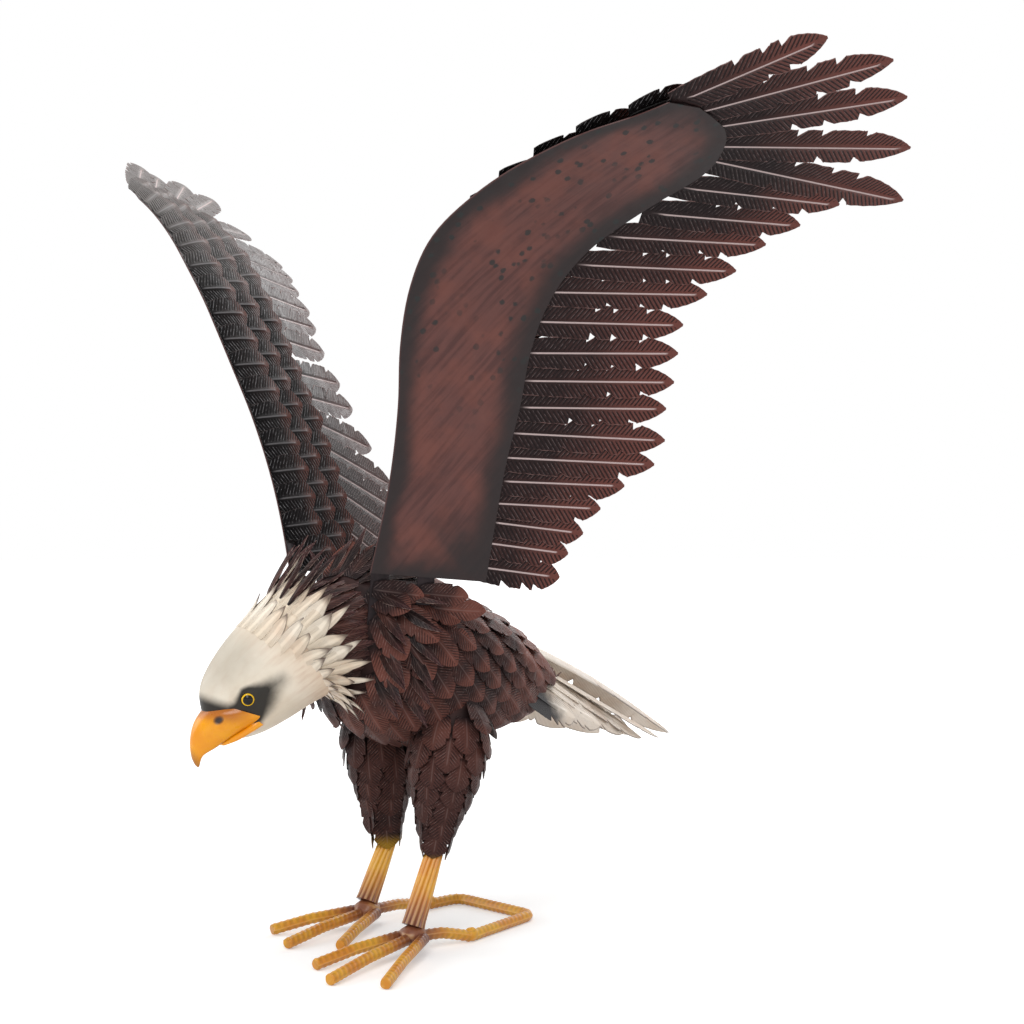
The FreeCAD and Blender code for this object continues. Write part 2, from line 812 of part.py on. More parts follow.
def toes(ankle_x, ankle_y, tips):
    """Three bars that start side by side at the ankle and bend down to the ground."""
    middle = tips[1]
    ahead = unit(Vector(middle[0] - ankle_x, middle[1] - ankle_y, 0))
    across = Vector(-ahead.y, ahead.x, 0)
    shapes = []
    for index, (tip_x, tip_y) in enumerate(tips):
        start = Vector(ankle_x, ankle_y, toe_start_height) + across * (toe_splay * (index - 1))
        tip = Vector(tip_x, tip_y, bar_diameter / 2)
        knee = start + (tip - start) * toe_knee_share
        knee.z = toe_knee_height
        fall = (knee.z - tip.z) / (tip - knee).Length
        tip.z = bar_diameter / 2 * math.sqrt(1 - fall * fall)
        shapes.append(bar([start, knee, tip]))
    return shapes


def hind_bar(ankle_x, ankle_y, joint):
    start = Vector(ankle_x, ankle_y, toe_start_height)
    end = Vector(joint[0], joint[1], bar_diameter / 2)
    away = unit(Vector(end.x - start.x, end.y - start.y, 0))
    start = start + away * (bar_diameter / 2 + seat_gap)
    end = end - away * weld_gap
    hump = start + (end - start) * hind_hump_share
    hump.z = hind_hump_height
    knee = start + (end - start) * (1 + hind_hump_share) / 2
    knee.z = bar_diameter / 2 + (hind_hump_height - bar_diameter / 2) * (1 - hind_hump_share)
    return bar([start, hump, knee, end])


def base_loop():
    level = bar_diameter / 2
    places = (left_loop_joint, left_loop_corner, right_loop_corner, right_loop_joint)
    points = [Vector(x, y, level) for x, y in places]
    points[0] += unit(points[1] - points[0]) * weld_gap
    points[-1] += unit(points[-2] - points[-1]) * weld_gap
    return bar(points)


def weld(centre, radius, pieces):
    bead = Part.makeSphere(radius, centre)
    for piece in pieces:
        bead = bead.cut(piece)
    return max(bead.Solids, key=lambda solid: solid.Volume)


def fluted_wire(centre, axis, radius):
    first = unit(axis.cross(Vector(0, 1, 0)))
    second = unit(axis.cross(first))
    points = []
    for step in range(2 * shank_flutes):
        angle = 180.0 * step / shank_flutes
        reach = radius - shank_flute_depth * (step % 2)
        points.append(centre + first * reach * cosine(angle) + second * reach * sine(angle))
    return Part.makePolygon(points + points[:1])


def leg(ankle_x, ankle_y, top_height, thigh_top):
    """Fluted shank tube and the rod inside it, which runs on up into the thigh."""
    foot = Vector(ankle_x, ankle_y, ankle_height + seat_gap)
    head = Vector(ankle_x, ankle_y + shank_lean, top_height)
    axis = head - foot
    wires = [fluted_wire(foot, axis, shank_foot_radius), fluted_wire(head, axis, shank_top_radius)]
    tube = Part.makeLoft(wires, True, True)
    bore_start = foot - unit(axis) * cut_overrun
    tube = tube.cut(Part.makeCylinder(shank_bore_radius, axis.Length + 2 * cut_overrun, bore_start, axis))
    rod = bar([foot, head, thigh_top], leg_rod_radius)
    return tube, rod, head


def thigh_loft(head, top, inset):
    axis = head - top
    across = unit(Vector(0, 1, 0).cross(axis))
    upward = unit(axis.cross(across))
    wires = []
    for place, share in thigh_section_shares:
        radius = thigh_depth * share - inset
        wires.append(ring(top + axis * place, across, upward, radius, radius, radius))
    return Part.makeLoft(wires, True)


def thigh_feathers(cone, body, down):
    face = side_face(cone)
    rows = even_rows(face, thigh_row_ends, thigh_row_pitch)
    leaves = []
    for point, normal in row_places(face, rows, thigh_feather_width):
        if not body.isInside(point, seat_gap, False):
            leaves.append(laid_feather(
                point, normal, down, thigh_feather_length, thigh_feather_width, thigh_feather_rise,
                leaf_shares))
    return leaves


# Tail

def tail_feather(side, index):
    reach, spread, drop, base_drop = tail_tip_shares[index]
    across = side * tail_half_width * spread
    base = Vector(
        across * tail_base_spread_share,
        tail_base_y - tail_base_step * base_drop,
        tail_base_z - tail_base_drop * base_drop,
    )
    fall = tail_length * tail_drop_share * drop
    tip = Vector(across, tail_base_y + tail_length * reach, tail_base_z - fall)
    roof = tail_roof * spread
    return flat_leaf(base, tip, Vector(side * sine(roof), 0, cosine(roof)), tail_feather_width, flight_shares)


def centre_feather():
    """The top feather, folded along its middle like a ridge."""
    reach, spread, drop, base_drop = tail_tip_shares[0]
    base = Vector(0, tail_base_y, tail_base_z + feather_sheet)
    along = Vector(0, tail_length * reach, -tail_length * tail_drop_share * drop)
    halves = []
    for side in (1, -1):
        across = Vector(side * cosine(tail_fold), 0, -sine(tail_fold))
        points = [base + along * x + across * (tail_feather_width * y / 2) for x, y in flight_shares]
        points.append(base)
        face = unit(Vector(side * sine(tail_fold), 0, cosine(tail_fold)))
        halves.append(Part.Face(Part.makePolygon(points + points[:1])).extrude(face * -feather_sheet))
    return halves[0].fuse(halves[1])


os.makedirs("parts", exist_ok=True)

body = body_loft(0)
body_left, body_right = body_shells(body)
save("body_shell_left", body_left)
save("body_shell_right", body_right)

left_top = Vector(thigh_spread, left_thigh_top_y, thigh_top_height)
right_top = Vector(-thigh_spread, right_thigh_top_y, thigh_top_height)
left_tube, left_rod, left_head = leg(left_ankle_x, left_ankle_y, left_shank_top, left_top)
right_tube, right_rod, right_head = leg(right_ankle_x, right_ankle_y, right_shank_top, right_top)
cones = []
for name, tube, rod, head, top in (
    ("left", left_tube, left_rod, left_head, left_top),
    ("right", right_tube, right_rod, right_head, right_top),
):
    cone = thigh_loft(head, top, 0)
    cones.append(cone)
    save("shank_" + name, tube)
    save("leg_rod_" + name, rod.cut(body))
    save("thigh_shell_" + name, cone.cut(thigh_loft(head, top, shell_sheet)).cut(body))
    save("thigh_feathers_" + name, thigh_feathers(cone, body, unit(head - top)))

body_face = side_face(body)
for name, leaves in body_feather_groups(body_face, cones).items():
    save(name + "_feathers", leaves)

head_outer = head_loft(0)
save("head_shell", head_outer.cut(head_loft(shell_sheet)))
beak_upper = beak_piece(upper_beak_shares)
save("beak_upper", beak_upper.cut(head_outer))
save("beak_lower", beak_piece(lower_beak_shares).cut(beak_upper).cut(head_outer))
for side, name in ((1, "left"), (-1, "right")):
    save("eye_" + name, eye(side, head_outer))
save("collar_feathers", collar(side_face(head_outer)))
neck = neck_loft(0)
save("neck_tube", neck.cut(neck_loft(shell_sheet)).cut(head_outer.cut(head_loft(shell_sheet))))
save("hackle_feathers", hackles(body_face, side_face(neck)))

for side, name in ((1, "left"), (-1, "right")):
    save("wing_plate_" + name, wing_plate(side))
    save("secondaries_" + name, [flight_feather(side, row, flight_width) for row in secondary_rows(side)])
    fingers = left_finger_shares if side > 0 else right_finger_shares
    save("primaries_" + name, [flight_feather(side, row, finger_width) for row in fingers])
    for row_index, row_name in enumerate(("front", "middle", "rear")):
        save("coverts_" + row_name + "_" + name, covert_row(side, row_index))
    tabs, studs, nuts = wing_fastening(side, body)
    save("wing_tabs_" + name, tabs)
    save("wing_studs_" + name, studs)
    save("wing_nuts_" + name, nuts)
    save("shoulder_feathers_" + name, shoulder_feathers(side, body))
    feathers = [tail_feather(side, index).cut(body) for index in range(1, len(tail_tip_shares))]
    save("tail_feathers_" + name, feathers)
ridge = centre_feather().cut(body)
save("tail_centre_feather", max(ridge.Solids, key=lambda solid: solid.Volume))

loop = base_loop()
save("base_loop", loop)
for name, x, y, tips, joint, tube, rod in (
    ("left", left_ankle_x, left_ankle_y, left_toe_tips, left_loop_joint, left_tube, left_rod),
    ("right", right_ankle_x, right_ankle_y, right_toe_tips, right_loop_joint, right_tube, right_rod),
):
    toe_names = ("inner", "middle", "outer") if name == "left" else ("outer", "middle", "inner")
    toe_bars = toes(x, y, tips)
    for toe_name, shape in zip(toe_names, toe_bars):
        save("toe_" + toe_name + "_" + name, shape)
    hind = hind_bar(x, y, joint)
    save("hind_bar_" + name, hind)
    ankle = Vector(x, y, ankle_weld_height)
    save("ankle_weld_" + name, weld(ankle, ankle_weld_radius, toe_bars + [hind, tube, rod]))
    joint_point = Vector(joint[0], joint[1], loop_weld_radius + seat_gap)
    save("loop_weld_" + name, weld(joint_point, loop_weld_radius, [loop, hind]))
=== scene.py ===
import bpy, bmesh, math, random
import numpy as np
from functools import partial
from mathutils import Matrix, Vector


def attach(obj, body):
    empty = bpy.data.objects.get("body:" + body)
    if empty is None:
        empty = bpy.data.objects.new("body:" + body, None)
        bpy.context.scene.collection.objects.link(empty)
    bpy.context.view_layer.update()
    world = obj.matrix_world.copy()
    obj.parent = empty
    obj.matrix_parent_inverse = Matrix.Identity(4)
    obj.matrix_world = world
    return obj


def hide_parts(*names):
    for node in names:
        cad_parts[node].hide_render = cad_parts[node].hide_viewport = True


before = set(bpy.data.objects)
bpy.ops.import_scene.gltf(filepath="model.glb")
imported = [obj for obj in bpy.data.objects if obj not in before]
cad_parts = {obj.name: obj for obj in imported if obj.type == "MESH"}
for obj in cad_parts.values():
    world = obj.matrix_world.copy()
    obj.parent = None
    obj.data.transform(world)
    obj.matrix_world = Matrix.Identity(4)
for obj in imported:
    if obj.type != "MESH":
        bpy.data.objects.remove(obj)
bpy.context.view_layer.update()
mm = 0.001
print("frame loaded")


# Camera, lights and stage

cameraView = {
    "place": (1.2166, -1.2839, 0.4101), "ahead": (-0.6547, 0.7559, 0.0), "lens": 66.8, "sensor": 36.0,
    "shiftDown": 0.0254,
}

lights = {
    "key": {"place": (1.5, -1.9, 1.9), "size": 1.6, "power": 34.0},
    "left": {"place": (-1.7, -1.2, 1.1), "size": 1.5, "power": 13.0},
    "top": {"place": (0.0, 0.1, 2.4), "size": 2.0, "power": 24.0},
    "rear": {"place": (-0.6, 2.1, 1.5), "size": 1.6, "power": 16.0},
}

stageLook = {"floorColour": "#EDEDED", "floorLift": 0.30, "floorRadius": 9.0, "worldDiffuse": 0.48,
             "shadowReach": 0.9, "aim": (0.0, 0.0, 0.4)}


def linear(code):
    parts = [int(code[i:i + 2], 16) / 255 for i in (1, 3, 5)]
    return tuple(c / 12.92 if c <= 0.04045 else ((c + 0.055) / 1.055) ** 2.4 for c in parts) + (1.0,)


# Inputs are linked when the value is a socket and set when it is a plain value
def addNode(tree, kind, settings=None, links=None):
    node = tree.nodes.new(kind)
    for key, value in (settings or {}).items():
        setattr(node, key, value)
    for key, value in (links or {}).items():
        if isinstance(value, bpy.types.NodeSocket):
            tree.links.new(value, node.inputs[key])
        else:
            node.inputs[key].default_value = linear(value) if isinstance(value, str) else value
    return node


# Nodes by the short names used below: their kind and settings, their inputs in order with the values that
# stay the same, and the output that is read
nodeKinds = {
    "ramp": ("MapRange", {"interpolation_type": "SMOOTHSTEP"},
             ("Value", "From Min", "From Max", "To Min", "To Max"), {}, 0),
    "span": ("MapRange", {}, ("Value", "To Min", "To Max"), {}, 0),
    "noise": ("TexNoise", {}, ("Vector", "Scale", "Detail"), {"Detail": 3.0, "Roughness": 0.55}, "Fac"),
    "cells": ("TexVoronoi", {}, ("Vector", "Scale"), {}, "Distance"),
    "mix": ("Mix", {"data_type": "RGBA"}, (0, 6, 7), {}, 2),
    "bump": ("Bump", {}, ("Height", "Distance", "Strength", "Normal"), {}, 0),
    "place": ("TexCoord", {}, (), {}, "Object"),
    "tone": ("Attribute", {"attribute_name": "tone"}, (), {}, "Vector"),
    "fourthTone": ("Attribute", {"attribute_name": "tone"}, (), {}, "Alpha"),
    "sheet": ("Attribute", {"attribute_name": "sheet"}, (), {}, "Vector"),
    "axes": ("SeparateXYZ", {}, (0,), {}, slice(None)),
    "joined": ("CombineXYZ", {}, (0, 1, 2), {}, 0),
    "turned": ("Mapping", {"vector_type": "TEXTURE"}, ("Vector", "Rotation", "Scale"), {}, 0),
    "stretched": ("Mapping", {}, ("Vector", "Scale"), {}, 0),
    "length": ("VectorMath", {"operation": "LENGTH"}, (0,), {}, "Value"),
    "offset": ("VectorMath", {"operation": "SUBTRACT"}, (0, 1), {}, 0),
    "dot": ("VectorMath", {"operation": "DOT_PRODUCT"}, (0, 1), {}, "Value"),
}
for name in ("add", "subtract", "multiply", "divide", "maximum"):
    nodeKinds[name] = ("Math", {"operation": name.upper()}, (0, 1), {}, 0)
for name in ("sine", "cosine", "absolute"):
    nodeKinds[name] = ("Math", {"operation": name.upper()}, (0,), {}, 0)


# Wires one node and gives its output; values past its last input go through another one
def step(tree, name, *values, kinds=nodeKinds):
    kind, settings, inputs, same, output = kinds[name]
    while len(values) > len(inputs):
        values = step(tree, name, *values[:len(inputs)], kinds=kinds), *values[len(inputs):]
    return addNode(tree, "ShaderNode" + kind, settings, {**same, **dict(zip(inputs, values))}).outputs[output]


def addObject(name, data, place=(0.0, 0.0, 0.0), aim=None):
    thing = bpy.data.objects.new(name, data)
    thing.location = place
    if aim is not None:
        thing.rotation_euler = Vector(aim).to_track_quat("-Z", "Y").to_euler()
    bpy.context.scene.collection.objects.link(thing)
    return thing


def makeCamera():
    data = bpy.data.cameras.new("photoCamera")
    data.lens = cameraView["lens"]
    data.sensor_width = cameraView["sensor"]
    data.shift_y = -cameraView["shiftDown"]
    bpy.context.scene.camera = addObject("photoCamera", data, cameraView["place"], cameraView["ahead"])


def makeLights():
    for name, values in lights.items():
        data = bpy.data.lights.new(name + "Light", "AREA")
        data.shape = "DISK"
        data.size = values["size"]
        data.energy = values["power"]
        addObject(name + "Light", data, values["place"], Vector(stageLook["aim"]) - Vector(values["place"]))


# One where a camera, mirror or glass ray arrives, so that metal shows the pale background too
def shownRays(tree):
    path = addNode(tree, "ShaderNodeLightPath").outputs
    return step(tree, "maximum", *[path["Is %s Ray" % kind] for kind in ("Camera", "Glossy", "Transmission")])


def makeWorld():
    world = bpy.data.worlds.new("paleWorld")
    bpy.context.scene.world = world
    world.use_nodes = True
    tree = world.node_tree
    tree.nodes.clear()
    strength = step(tree, "span", shownRays(tree), stageLook["worldDiffuse"], 1.0)
    back = addNode(tree, "ShaderNodeBackground", {}, {"Color": "#FFFFFF", "Strength": strength})
    addNode(tree, "ShaderNodeOutputWorld", {}, {"Surface": back.outputs[0]})


# Matt white floor: soft contact shadow that fades into the white background
def makeFloor():
    paint = bpy.data.materials.new("floorWhite")
    paint.use_nodes = True
    tree = paint.node_tree
    tree.nodes.clear()
    matt = addNode(tree, "ShaderNodeBsdfDiffuse", {}, {"Color": stageLook["floorColour"]})
    away, reach = step(tree, "length", step(tree, "place")), stageLook["shadowReach"]
    lift = step(tree, "multiply", shownRays(tree),
                step(tree, "ramp", away, reach, reach * 2, stageLook["floorLift"], 1.0))
    glow = addNode(tree, "ShaderNodeEmission", {}, {"Strength": lift})
    both = addNode(tree, "ShaderNodeAddShader", {}, {0: matt.outputs[0], 1: glow.outputs[0]})
    addNode(tree, "ShaderNodeOutputMaterial", {}, {"Surface": both.outputs[0]})
    shape, mesh = bmesh.new(), bpy.data.meshes.new("floor")
    bmesh.ops.create_circle(shape, cap_ends=True, segments=96, radius=stageLook["floorRadius"])
    shape.to_mesh(mesh)
    shape.free()
    mesh.materials.append(paint)
    addObject("floor", mesh)


bpy.context.scene.view_settings.view_transform = "Standard"
makeCamera()
makeLights()
makeWorld()
makeFloor()
print("camera and stage made")


# Shared steps of the finishes

# A fade is a ramp's start and end with the strength at each. A pattern is the real size of its marks in
# millimetres and its detail; unit is the length of a millimetre where the pattern lies. Both become steps.
def newPaint(name, values, fades, patterns, unit=mm):
    paint = bpy.data.materials.new(name)
    paint.use_nodes = True
    tree = paint.node_tree
    tree.nodes.clear()
    shader = addNode(tree, "ShaderNodeBsdfPrincipled", {}, values)
    addNode(tree, "ShaderNodeOutputMaterial", {}, {"Surface": shader.outputs[0]})
    kinds = dict(nodeKinds)
    kind, settings, inputs, same, output = nodeKinds["ramp"]
    for key, ends in fades.items():
        kinds[key] = kind, settings, inputs[:1], dict(zip(inputs[1:], ends)), output
    kind, settings, inputs, same, output = nodeKinds["noise"]
    for key, (size, detail) in patterns.items():
        same = {**same, "Scale": 1 / (size * unit), "Detail": detail}
        kinds[key] = kind, settings, inputs[:1], same, output
    return paint, shader, partial(step, tree, kinds=kinds)


# Colours laid one over another, each by the product of its shares
def lay(wire, base, *layers):
    for *shares, colour in layers:
        base = wire("mix", wire("multiply", *shares) if shares[1:] else shares[0], base, colour)
    return base


# The four tones a piece carries on its vertices
def readTones(wire):
    return *wire("axes", wire("tone")), wire("fourthTone")


# Pressed barbs: the groove wave, the same wave a quarter later, and the way off the quill in centimetres
def barbs(wire, pitch, slope):
    along, across = wire("axes", wire("sheet"))[:2]
    away = wire("absolute", across)
    line = wire("subtract", along, wire("multiply", away, slope))
    turn = wire("multiply", line, 2 * math.pi / pitch)
    return wire("sine", turn), wire("cosine", turn), away


def finish(shader, base, normal, rough):
    for name, socket in (("Base Color", base), ("Normal", normal), ("Roughness", rough)):
        shader.id_data.links.new(socket, shader.inputs[name])


# Fades along and across are by shares of a feather, the others by the pattern's own value
featherLooks = {
    # The body's plumage: reddish-brown lacquer under black clouds, with small bright dots painted as
    # highlights along the barbs
    "plumage": {
        "deep": "#231C1D", "mid": "#683F37", "warm": "#805045", "tip": "#70453C", "line": "#B8A09A",
        "rim": "#120D0D", "cloud": 100.0, "pitch": 0.32, "slope": 0.9, "depth": 0.7, "crest": 0.38,
        "groove": 0.60, "gleam": 0.07, "coat": 0.0, "film": 0.0,
        "fades": {"cloud": (0.43, 0.62), "pressed": (0.40, 0.54, 0.25, 1.0),
                  "bead": (0.035, 0.085, 0.10, 0.0), "root": (0.0, 0.30, 0.9, 0.0),
                  "tip": (0.60, 0.97, 0.0, 0.8), "gloss": (0.3, 0.7, 0.34, 0.52)}},
    # Flight feathers: black lacquer at the plate, red-brown at the tips, dark slashes painted as shade in the
    # barb grooves, and a pale quill painted as the bead's highlight
    "flight": {
        "deep": "#1F1819", "mid": "#422B29", "warm": "#523430", "tip": "#71433C", "line": "#C8B4B2",
        "rim": "#8A6A66", "cloud": 125.0, "pitch": 0.44, "slope": 0.8, "depth": 0.9, "crest": 0.22,
        "groove": 0.85, "gleam": 0.09, "coat": 0.02, "film": 0.55,
        "fades": {"cloud": (0.44, 0.66), "pressed": (0.14, 0.28, 0.25, 1.0),
                  "bead": (0.042, 0.102, 0.85, 0.0), "root": (0.0, 0.62, 0.9, 0.0),
                  "tip": (0.40, 0.97, 0.0, 0.8), "gloss": (0.3, 0.7, 0.26, 0.44)}},
    # Coverts: black lacquer over deep barbs with bright ridges painted as highlights, dark red-brown at the
    # rounded tips
    "covert": {
        "deep": "#0F0E0F", "mid": "#1B1718", "warm": "#241B1B", "tip": "#5A3129", "line": "#B9B6B8",
        "rim": "#5C5352", "cloud": 83.33, "pitch": 0.46, "slope": 0.75, "depth": 1.0, "crest": 0.55,
        "groove": 0.85, "gleam": 0.03, "coat": 0.0, "film": 0.0,
        "fades": {"cloud": (0.42, 0.64), "pressed": (0.24, 0.38, 0.25, 1.0),
                  "bead": (0.042, 0.102, 0.22, 0.0), "root": (0.0, 0.45, 0.9, 0.0),
                  "tip": (0.50, 0.97, 0.0, 0.8), "gloss": (0.3, 0.7, 0.30, 0.48)}},
    # Hackles: long brown-black strips with pale edges painted as highlights
    "hackle": {
        "deep": "#150F10", "mid": "#432A26", "warm": "#57352E", "tip": "#45292A", "line": "#A08A82",
        "rim": "#A08A82", "cloud": 55.56, "pitch": 0.5, "slope": 2.4, "depth": 0.4, "crest": 0.2,
        "groove": 0.5, "gleam": 0.12, "coat": 0.03, "film": 0.0,
        "fades": {"cloud": (0.36, 0.58), "pressed": (0.24, 0.38, 0.25, 1.0),
                  "bead": (0.028, 0.068, 0.08, 0.0), "root": (0.0, 0.25, 0.9, 0.0),
                  "tip": (0.50, 0.97, 0.0, 0.8), "gloss": (0.3, 0.7, 0.32, 0.50)}},
}
# Heights and sides in metres
featherFades = {
    "cloudAlong": (0.7, 1.0, 0.92, 0.4), "low": (0.13, 0.26, 0.72, 0.0), "thigh": (0.072, 0.086, 0.85, 0.0),
    "far": (-0.05, -0.04, 1.0, 0.0), "silver": (0.62, 0.83, 0.0, 0.75), "offQuill": (0.12, 0.30),
    "offEdge": (0.90, 0.99, 1.0, 0.3), "offTip": (0.93, 0.985, 1.0, 0.0), "groove": (0.0, 0.75),
    "crest": (0.62, 0.97), "crestSide": (-0.2, 0.2, 1.0, 0.0), "crestGrain": (0.44, 0.60),
    "crestAlong": (0.55, 0.9, 1.0, 0.35), "rim": (0.93, 1.0), "rimGrain": (0.38, 0.60),
}
featherPatterns = {"scuff": (4.167, 3.0), "press": (33.33, 3.0), "blotch": (11.11, 3.0), "film": (50.0, 3.0),
                   "grit": (2.381, 2.0)}
# The right wing turns its lit side to the viewer: a grey sheen is painted there, and a silver reflection is
# painted towards its tip
featherShared = {"paintedSheenGrey": "#453E3D", "silver": "#9A9491", "reflectionSpread": 0.10, "thigh": "#A07C26", "rim": 0.7,
                 "grit": (0.12, 0.5)}


def featherPaint(name):
    look, shared = featherLooks[name], featherShared
    paint, shader, wire = newPaint(name + "Lacquer", {
        "Specular IOR Level": look["gleam"], "Coat Weight": look["coat"], "Coat Roughness": 0.18},
        {**featherFades, **look["fades"]}, {**featherPatterns, "clouds": (look["cloud"], 4.0)})
    wave, later, away = barbs(wire, look["pitch"], look["slope"])
    chance, length, edge, beaded = readTones(wire)
    spot = wire("place")
    x, height = wire("axes", spot)[::2]
    scuff = wire("scuff", spot)
    base = lay(wire, look["mid"], (chance, look["warm"]),
               (wire("cloud", wire("clouds", spot)), wire("cloudAlong", length), look["deep"]),
               (wire("tip", length), look["tip"]), (wire("root", length), look["deep"]))
    if name in ("flight", "covert"):
        # Right wing only: painted grey sheen, and a painted silver reflection rising towards the tip
        far = wire("far", x)
        reflectionMask = wire("multiply", wire("film", spot), shared["reflectionSpread"])
        reflectionMask = wire("silver", wire("add", height, reflectionMask))
        base = lay(wire, base, (far, look["film"], shared["paintedSheenGrey"]), (far, reflectionMask, shared["silver"]))
    if name == "plumage":
        # Plumage darker towards the bottom as painted shade, and ochre at the lowest ends of the thighs
        base = lay(wire, base, (wire("low", height), look["deep"]), (wire("thigh", height), shared["thigh"]))
    inside = wire("multiply", wire("offQuill", edge), wire("offEdge", edge), wire("offTip", length))
    # Painted shade: the barb grooves darkened towards the deep colour
    groove = wire("multiply", wire("groove", wave), inside, wire("pressed", wire("press", spot)))
    base = lay(wire, base, (groove, look["groove"], look["deep"]),
               # Painted highlights along one side of the barb crests, speckled, and weaker towards the tip
               (wire("crest", later), inside, wire("crestSide", wave), wire("crestGrain", scuff),
                wire("crestAlong", length), look["crest"], look["line"]),
               # Pale quill line painted along the bead as its highlight
               (wire("bead", away), beaded, look["line"]),
               # Edge line in the look's rim colour: dark on the plumage as painted shade in the slits between
               # feathers, pale on the hackles as painted highlight
               (wire("rim", edge), wire("rimGrain", scuff), shared["rim"], look["rim"]))
    depth, share = shared["grit"]
    grit = wire("bump", wire("grit", spot), depth * mm, share)
    barbed = wire("bump", groove, -look["depth"] * mm, 1.0, grit)
    finish(shader, base, barbed, wire("gloss", wire("blotch", spot)))
    return paint


ivoryLooks = {
    "tail": {"pale": "#F0E6DA", "dull": "#E2D5C6", "stain": "#D6BEA8", "tip": "#CDB7A2",
             "pitch": 0.23, "slope": 1.0, "dustAndShade": 0.24,
             "fades": {"dark": (0.138, 0.168, 1.0, 0.0), "tip": (0.86, 1.10, 0.0, 0.2)}},
    "collar": {"pale": "#EFE4D3", "dull": "#E8D8C2", "stain": "#DDBFA3", "tip": "#4A3027",
               "pitch": 0.5, "slope": 5.0, "dustAndShade": 0.15,
               "fades": {"dark": (-1.0, -0.9, 1.0, 0.0), "tip": (0.86, 1.10, 0.0, 0.85)}},
}
ivoryShared = {"root": "#DDCDB6", "dustAndShade": "#7D6152", "dark": "#221F21", "worn": "#4A3226", "darkSpread": 0.05,
               "tipSpread": 0.3, "wornShare": 0.75, "depth": 0.5}
ivoryFades = {
    "stain": (0.4, 0.75, 0.0, 0.6), "root": (0.0, 0.45, 0.7, 0.0), "groove": (0.0, 0.8),
    "offQuill": (0.12, 0.5), "worn": (0.86, 1.0), "wornAlong": (0.35, 0.6), "gloss": (0.3, 0.7, 0.40, 0.52),
}


# Ivory lacquer over pressed barbs: brown painted shade in the grooves, airbrushed dark at the tail's root
def ivoryPaint(name):
    look, shared = ivoryLooks[name], ivoryShared
    paint, shader, wire = newPaint(name + "Ivory", {
        "Specular IOR Level": 0.35, "Coat Weight": 0.1, "Coat Roughness": 0.3},
        {**ivoryFades, **look["fades"]}, {"stains": (25.0, 3.0), "soft": (29.41, 3.0)})
    wave = barbs(wire, look["pitch"], look["slope"])[0]
    chance, length, edge = readTones(wire)[:3]
    spot = wire("place")
    soft = wire("soft", spot)
    groove = wire("multiply", wire("groove", wave), wire("offQuill", edge))
    back = wire("add", wire("axes", spot)[1], wire("multiply", soft, shared["darkSpread"]))
    tips = wire("add", length, wire("multiply", soft, shared["tipSpread"]))
    base = lay(wire, look["pale"], (chance, look["dull"]),
               (wire("stain", wire("stains", spot)), look["stain"]), (wire("root", length), shared["root"]),
               # Painted shade: the grooves browned
               (groove, look["dustAndShade"], shared["dustAndShade"]),
               (wire("dark", back), shared["dark"]), (wire("tip", tips), look["tip"]),
               (wire("worn", edge), wire("wornAlong", length), shared["wornShare"], shared["worn"]))
    finish(shader, base, wire("bump", groove, -shared["depth"] * mm), wire("gloss", soft))
    return paint


paints = {name: featherPaint(name) for name in featherLooks}
paints.update({name: ivoryPaint(name) for name in ivoryLooks})


# Shared steps of the shapes

def newShape():
    shape = bmesh.new()
    shape.verts.layers.float_color.new("tone")
    shape.verts.layers.float_vector.new("sheet")
    return shape


# Grid whose vertices go where pointAt puts them for a row and a column, with their tones and sheet map
def addSheet(shape, rows, columns, pointAt):
    tone, sheet = shape.verts.layers.float_color["tone"], shape.verts.layers.float_vector["sheet"]
    made = bmesh.ops.create_grid(shape, x_segments=columns, y_segments=rows, size=0.5)["verts"]
    for index, vert in enumerate(made):
        vert.co, vert[tone], vert[sheet] = pointAt(*divmod(index, columns + 1))
    return made


# Grid rolled shut round a line and closed at both ends
def addSkin(shape, rows, columns, pointAt):
    made = addSheet(shape, rows, columns, lambda row, column: pointAt(row, column % columns))
    bmesh.ops.remove_doubles(shape, verts=made, dist=1e-7)
    bmesh.ops.holes_fill(shape, edges=[edge for edge in shape.edges if edge.is_boundary], sides=0)


def makePiece(name, shape, paint, nodes, slot, sharp=48.0):
    bmesh.ops.recalc_face_normals(shape, faces=shape.faces)
    for face in shape.faces:
        face.smooth = True
    mesh = bpy.data.meshes.new(name)
    shape.to_mesh(mesh)
    shape.free()
    mesh.set_sharp_from_angle(angle=math.radians(sharp))
    mesh.materials.append(paint)
    piece = addObject(name, mesh)
    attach(piece, "root")
    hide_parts(*nodes)
    print(name, len(mesh.polygons), "faces")


# Cardinal curve through rows of numbers at a share of its length
def smoothRows(rows, share):
    spot = min(share, 0.9999) * (len(rows) - 1)
    index = int(spot)
    t = spot - index
    a, b = rows[max(index - 1, 0)], rows[index]
    c, d = rows[index + 1], rows[min(index + 2, len(rows) - 1)]
    return [0.5 * (2 * q + (r - p) * t + (2 * p - 5 * q + 4 * r - s) * t * t
                   + (3 * q - p - 3 * r + s) * t ** 3) for p, q, r, s in zip(a, b, c, d)]


# Feathers, each built on the place of a packed one

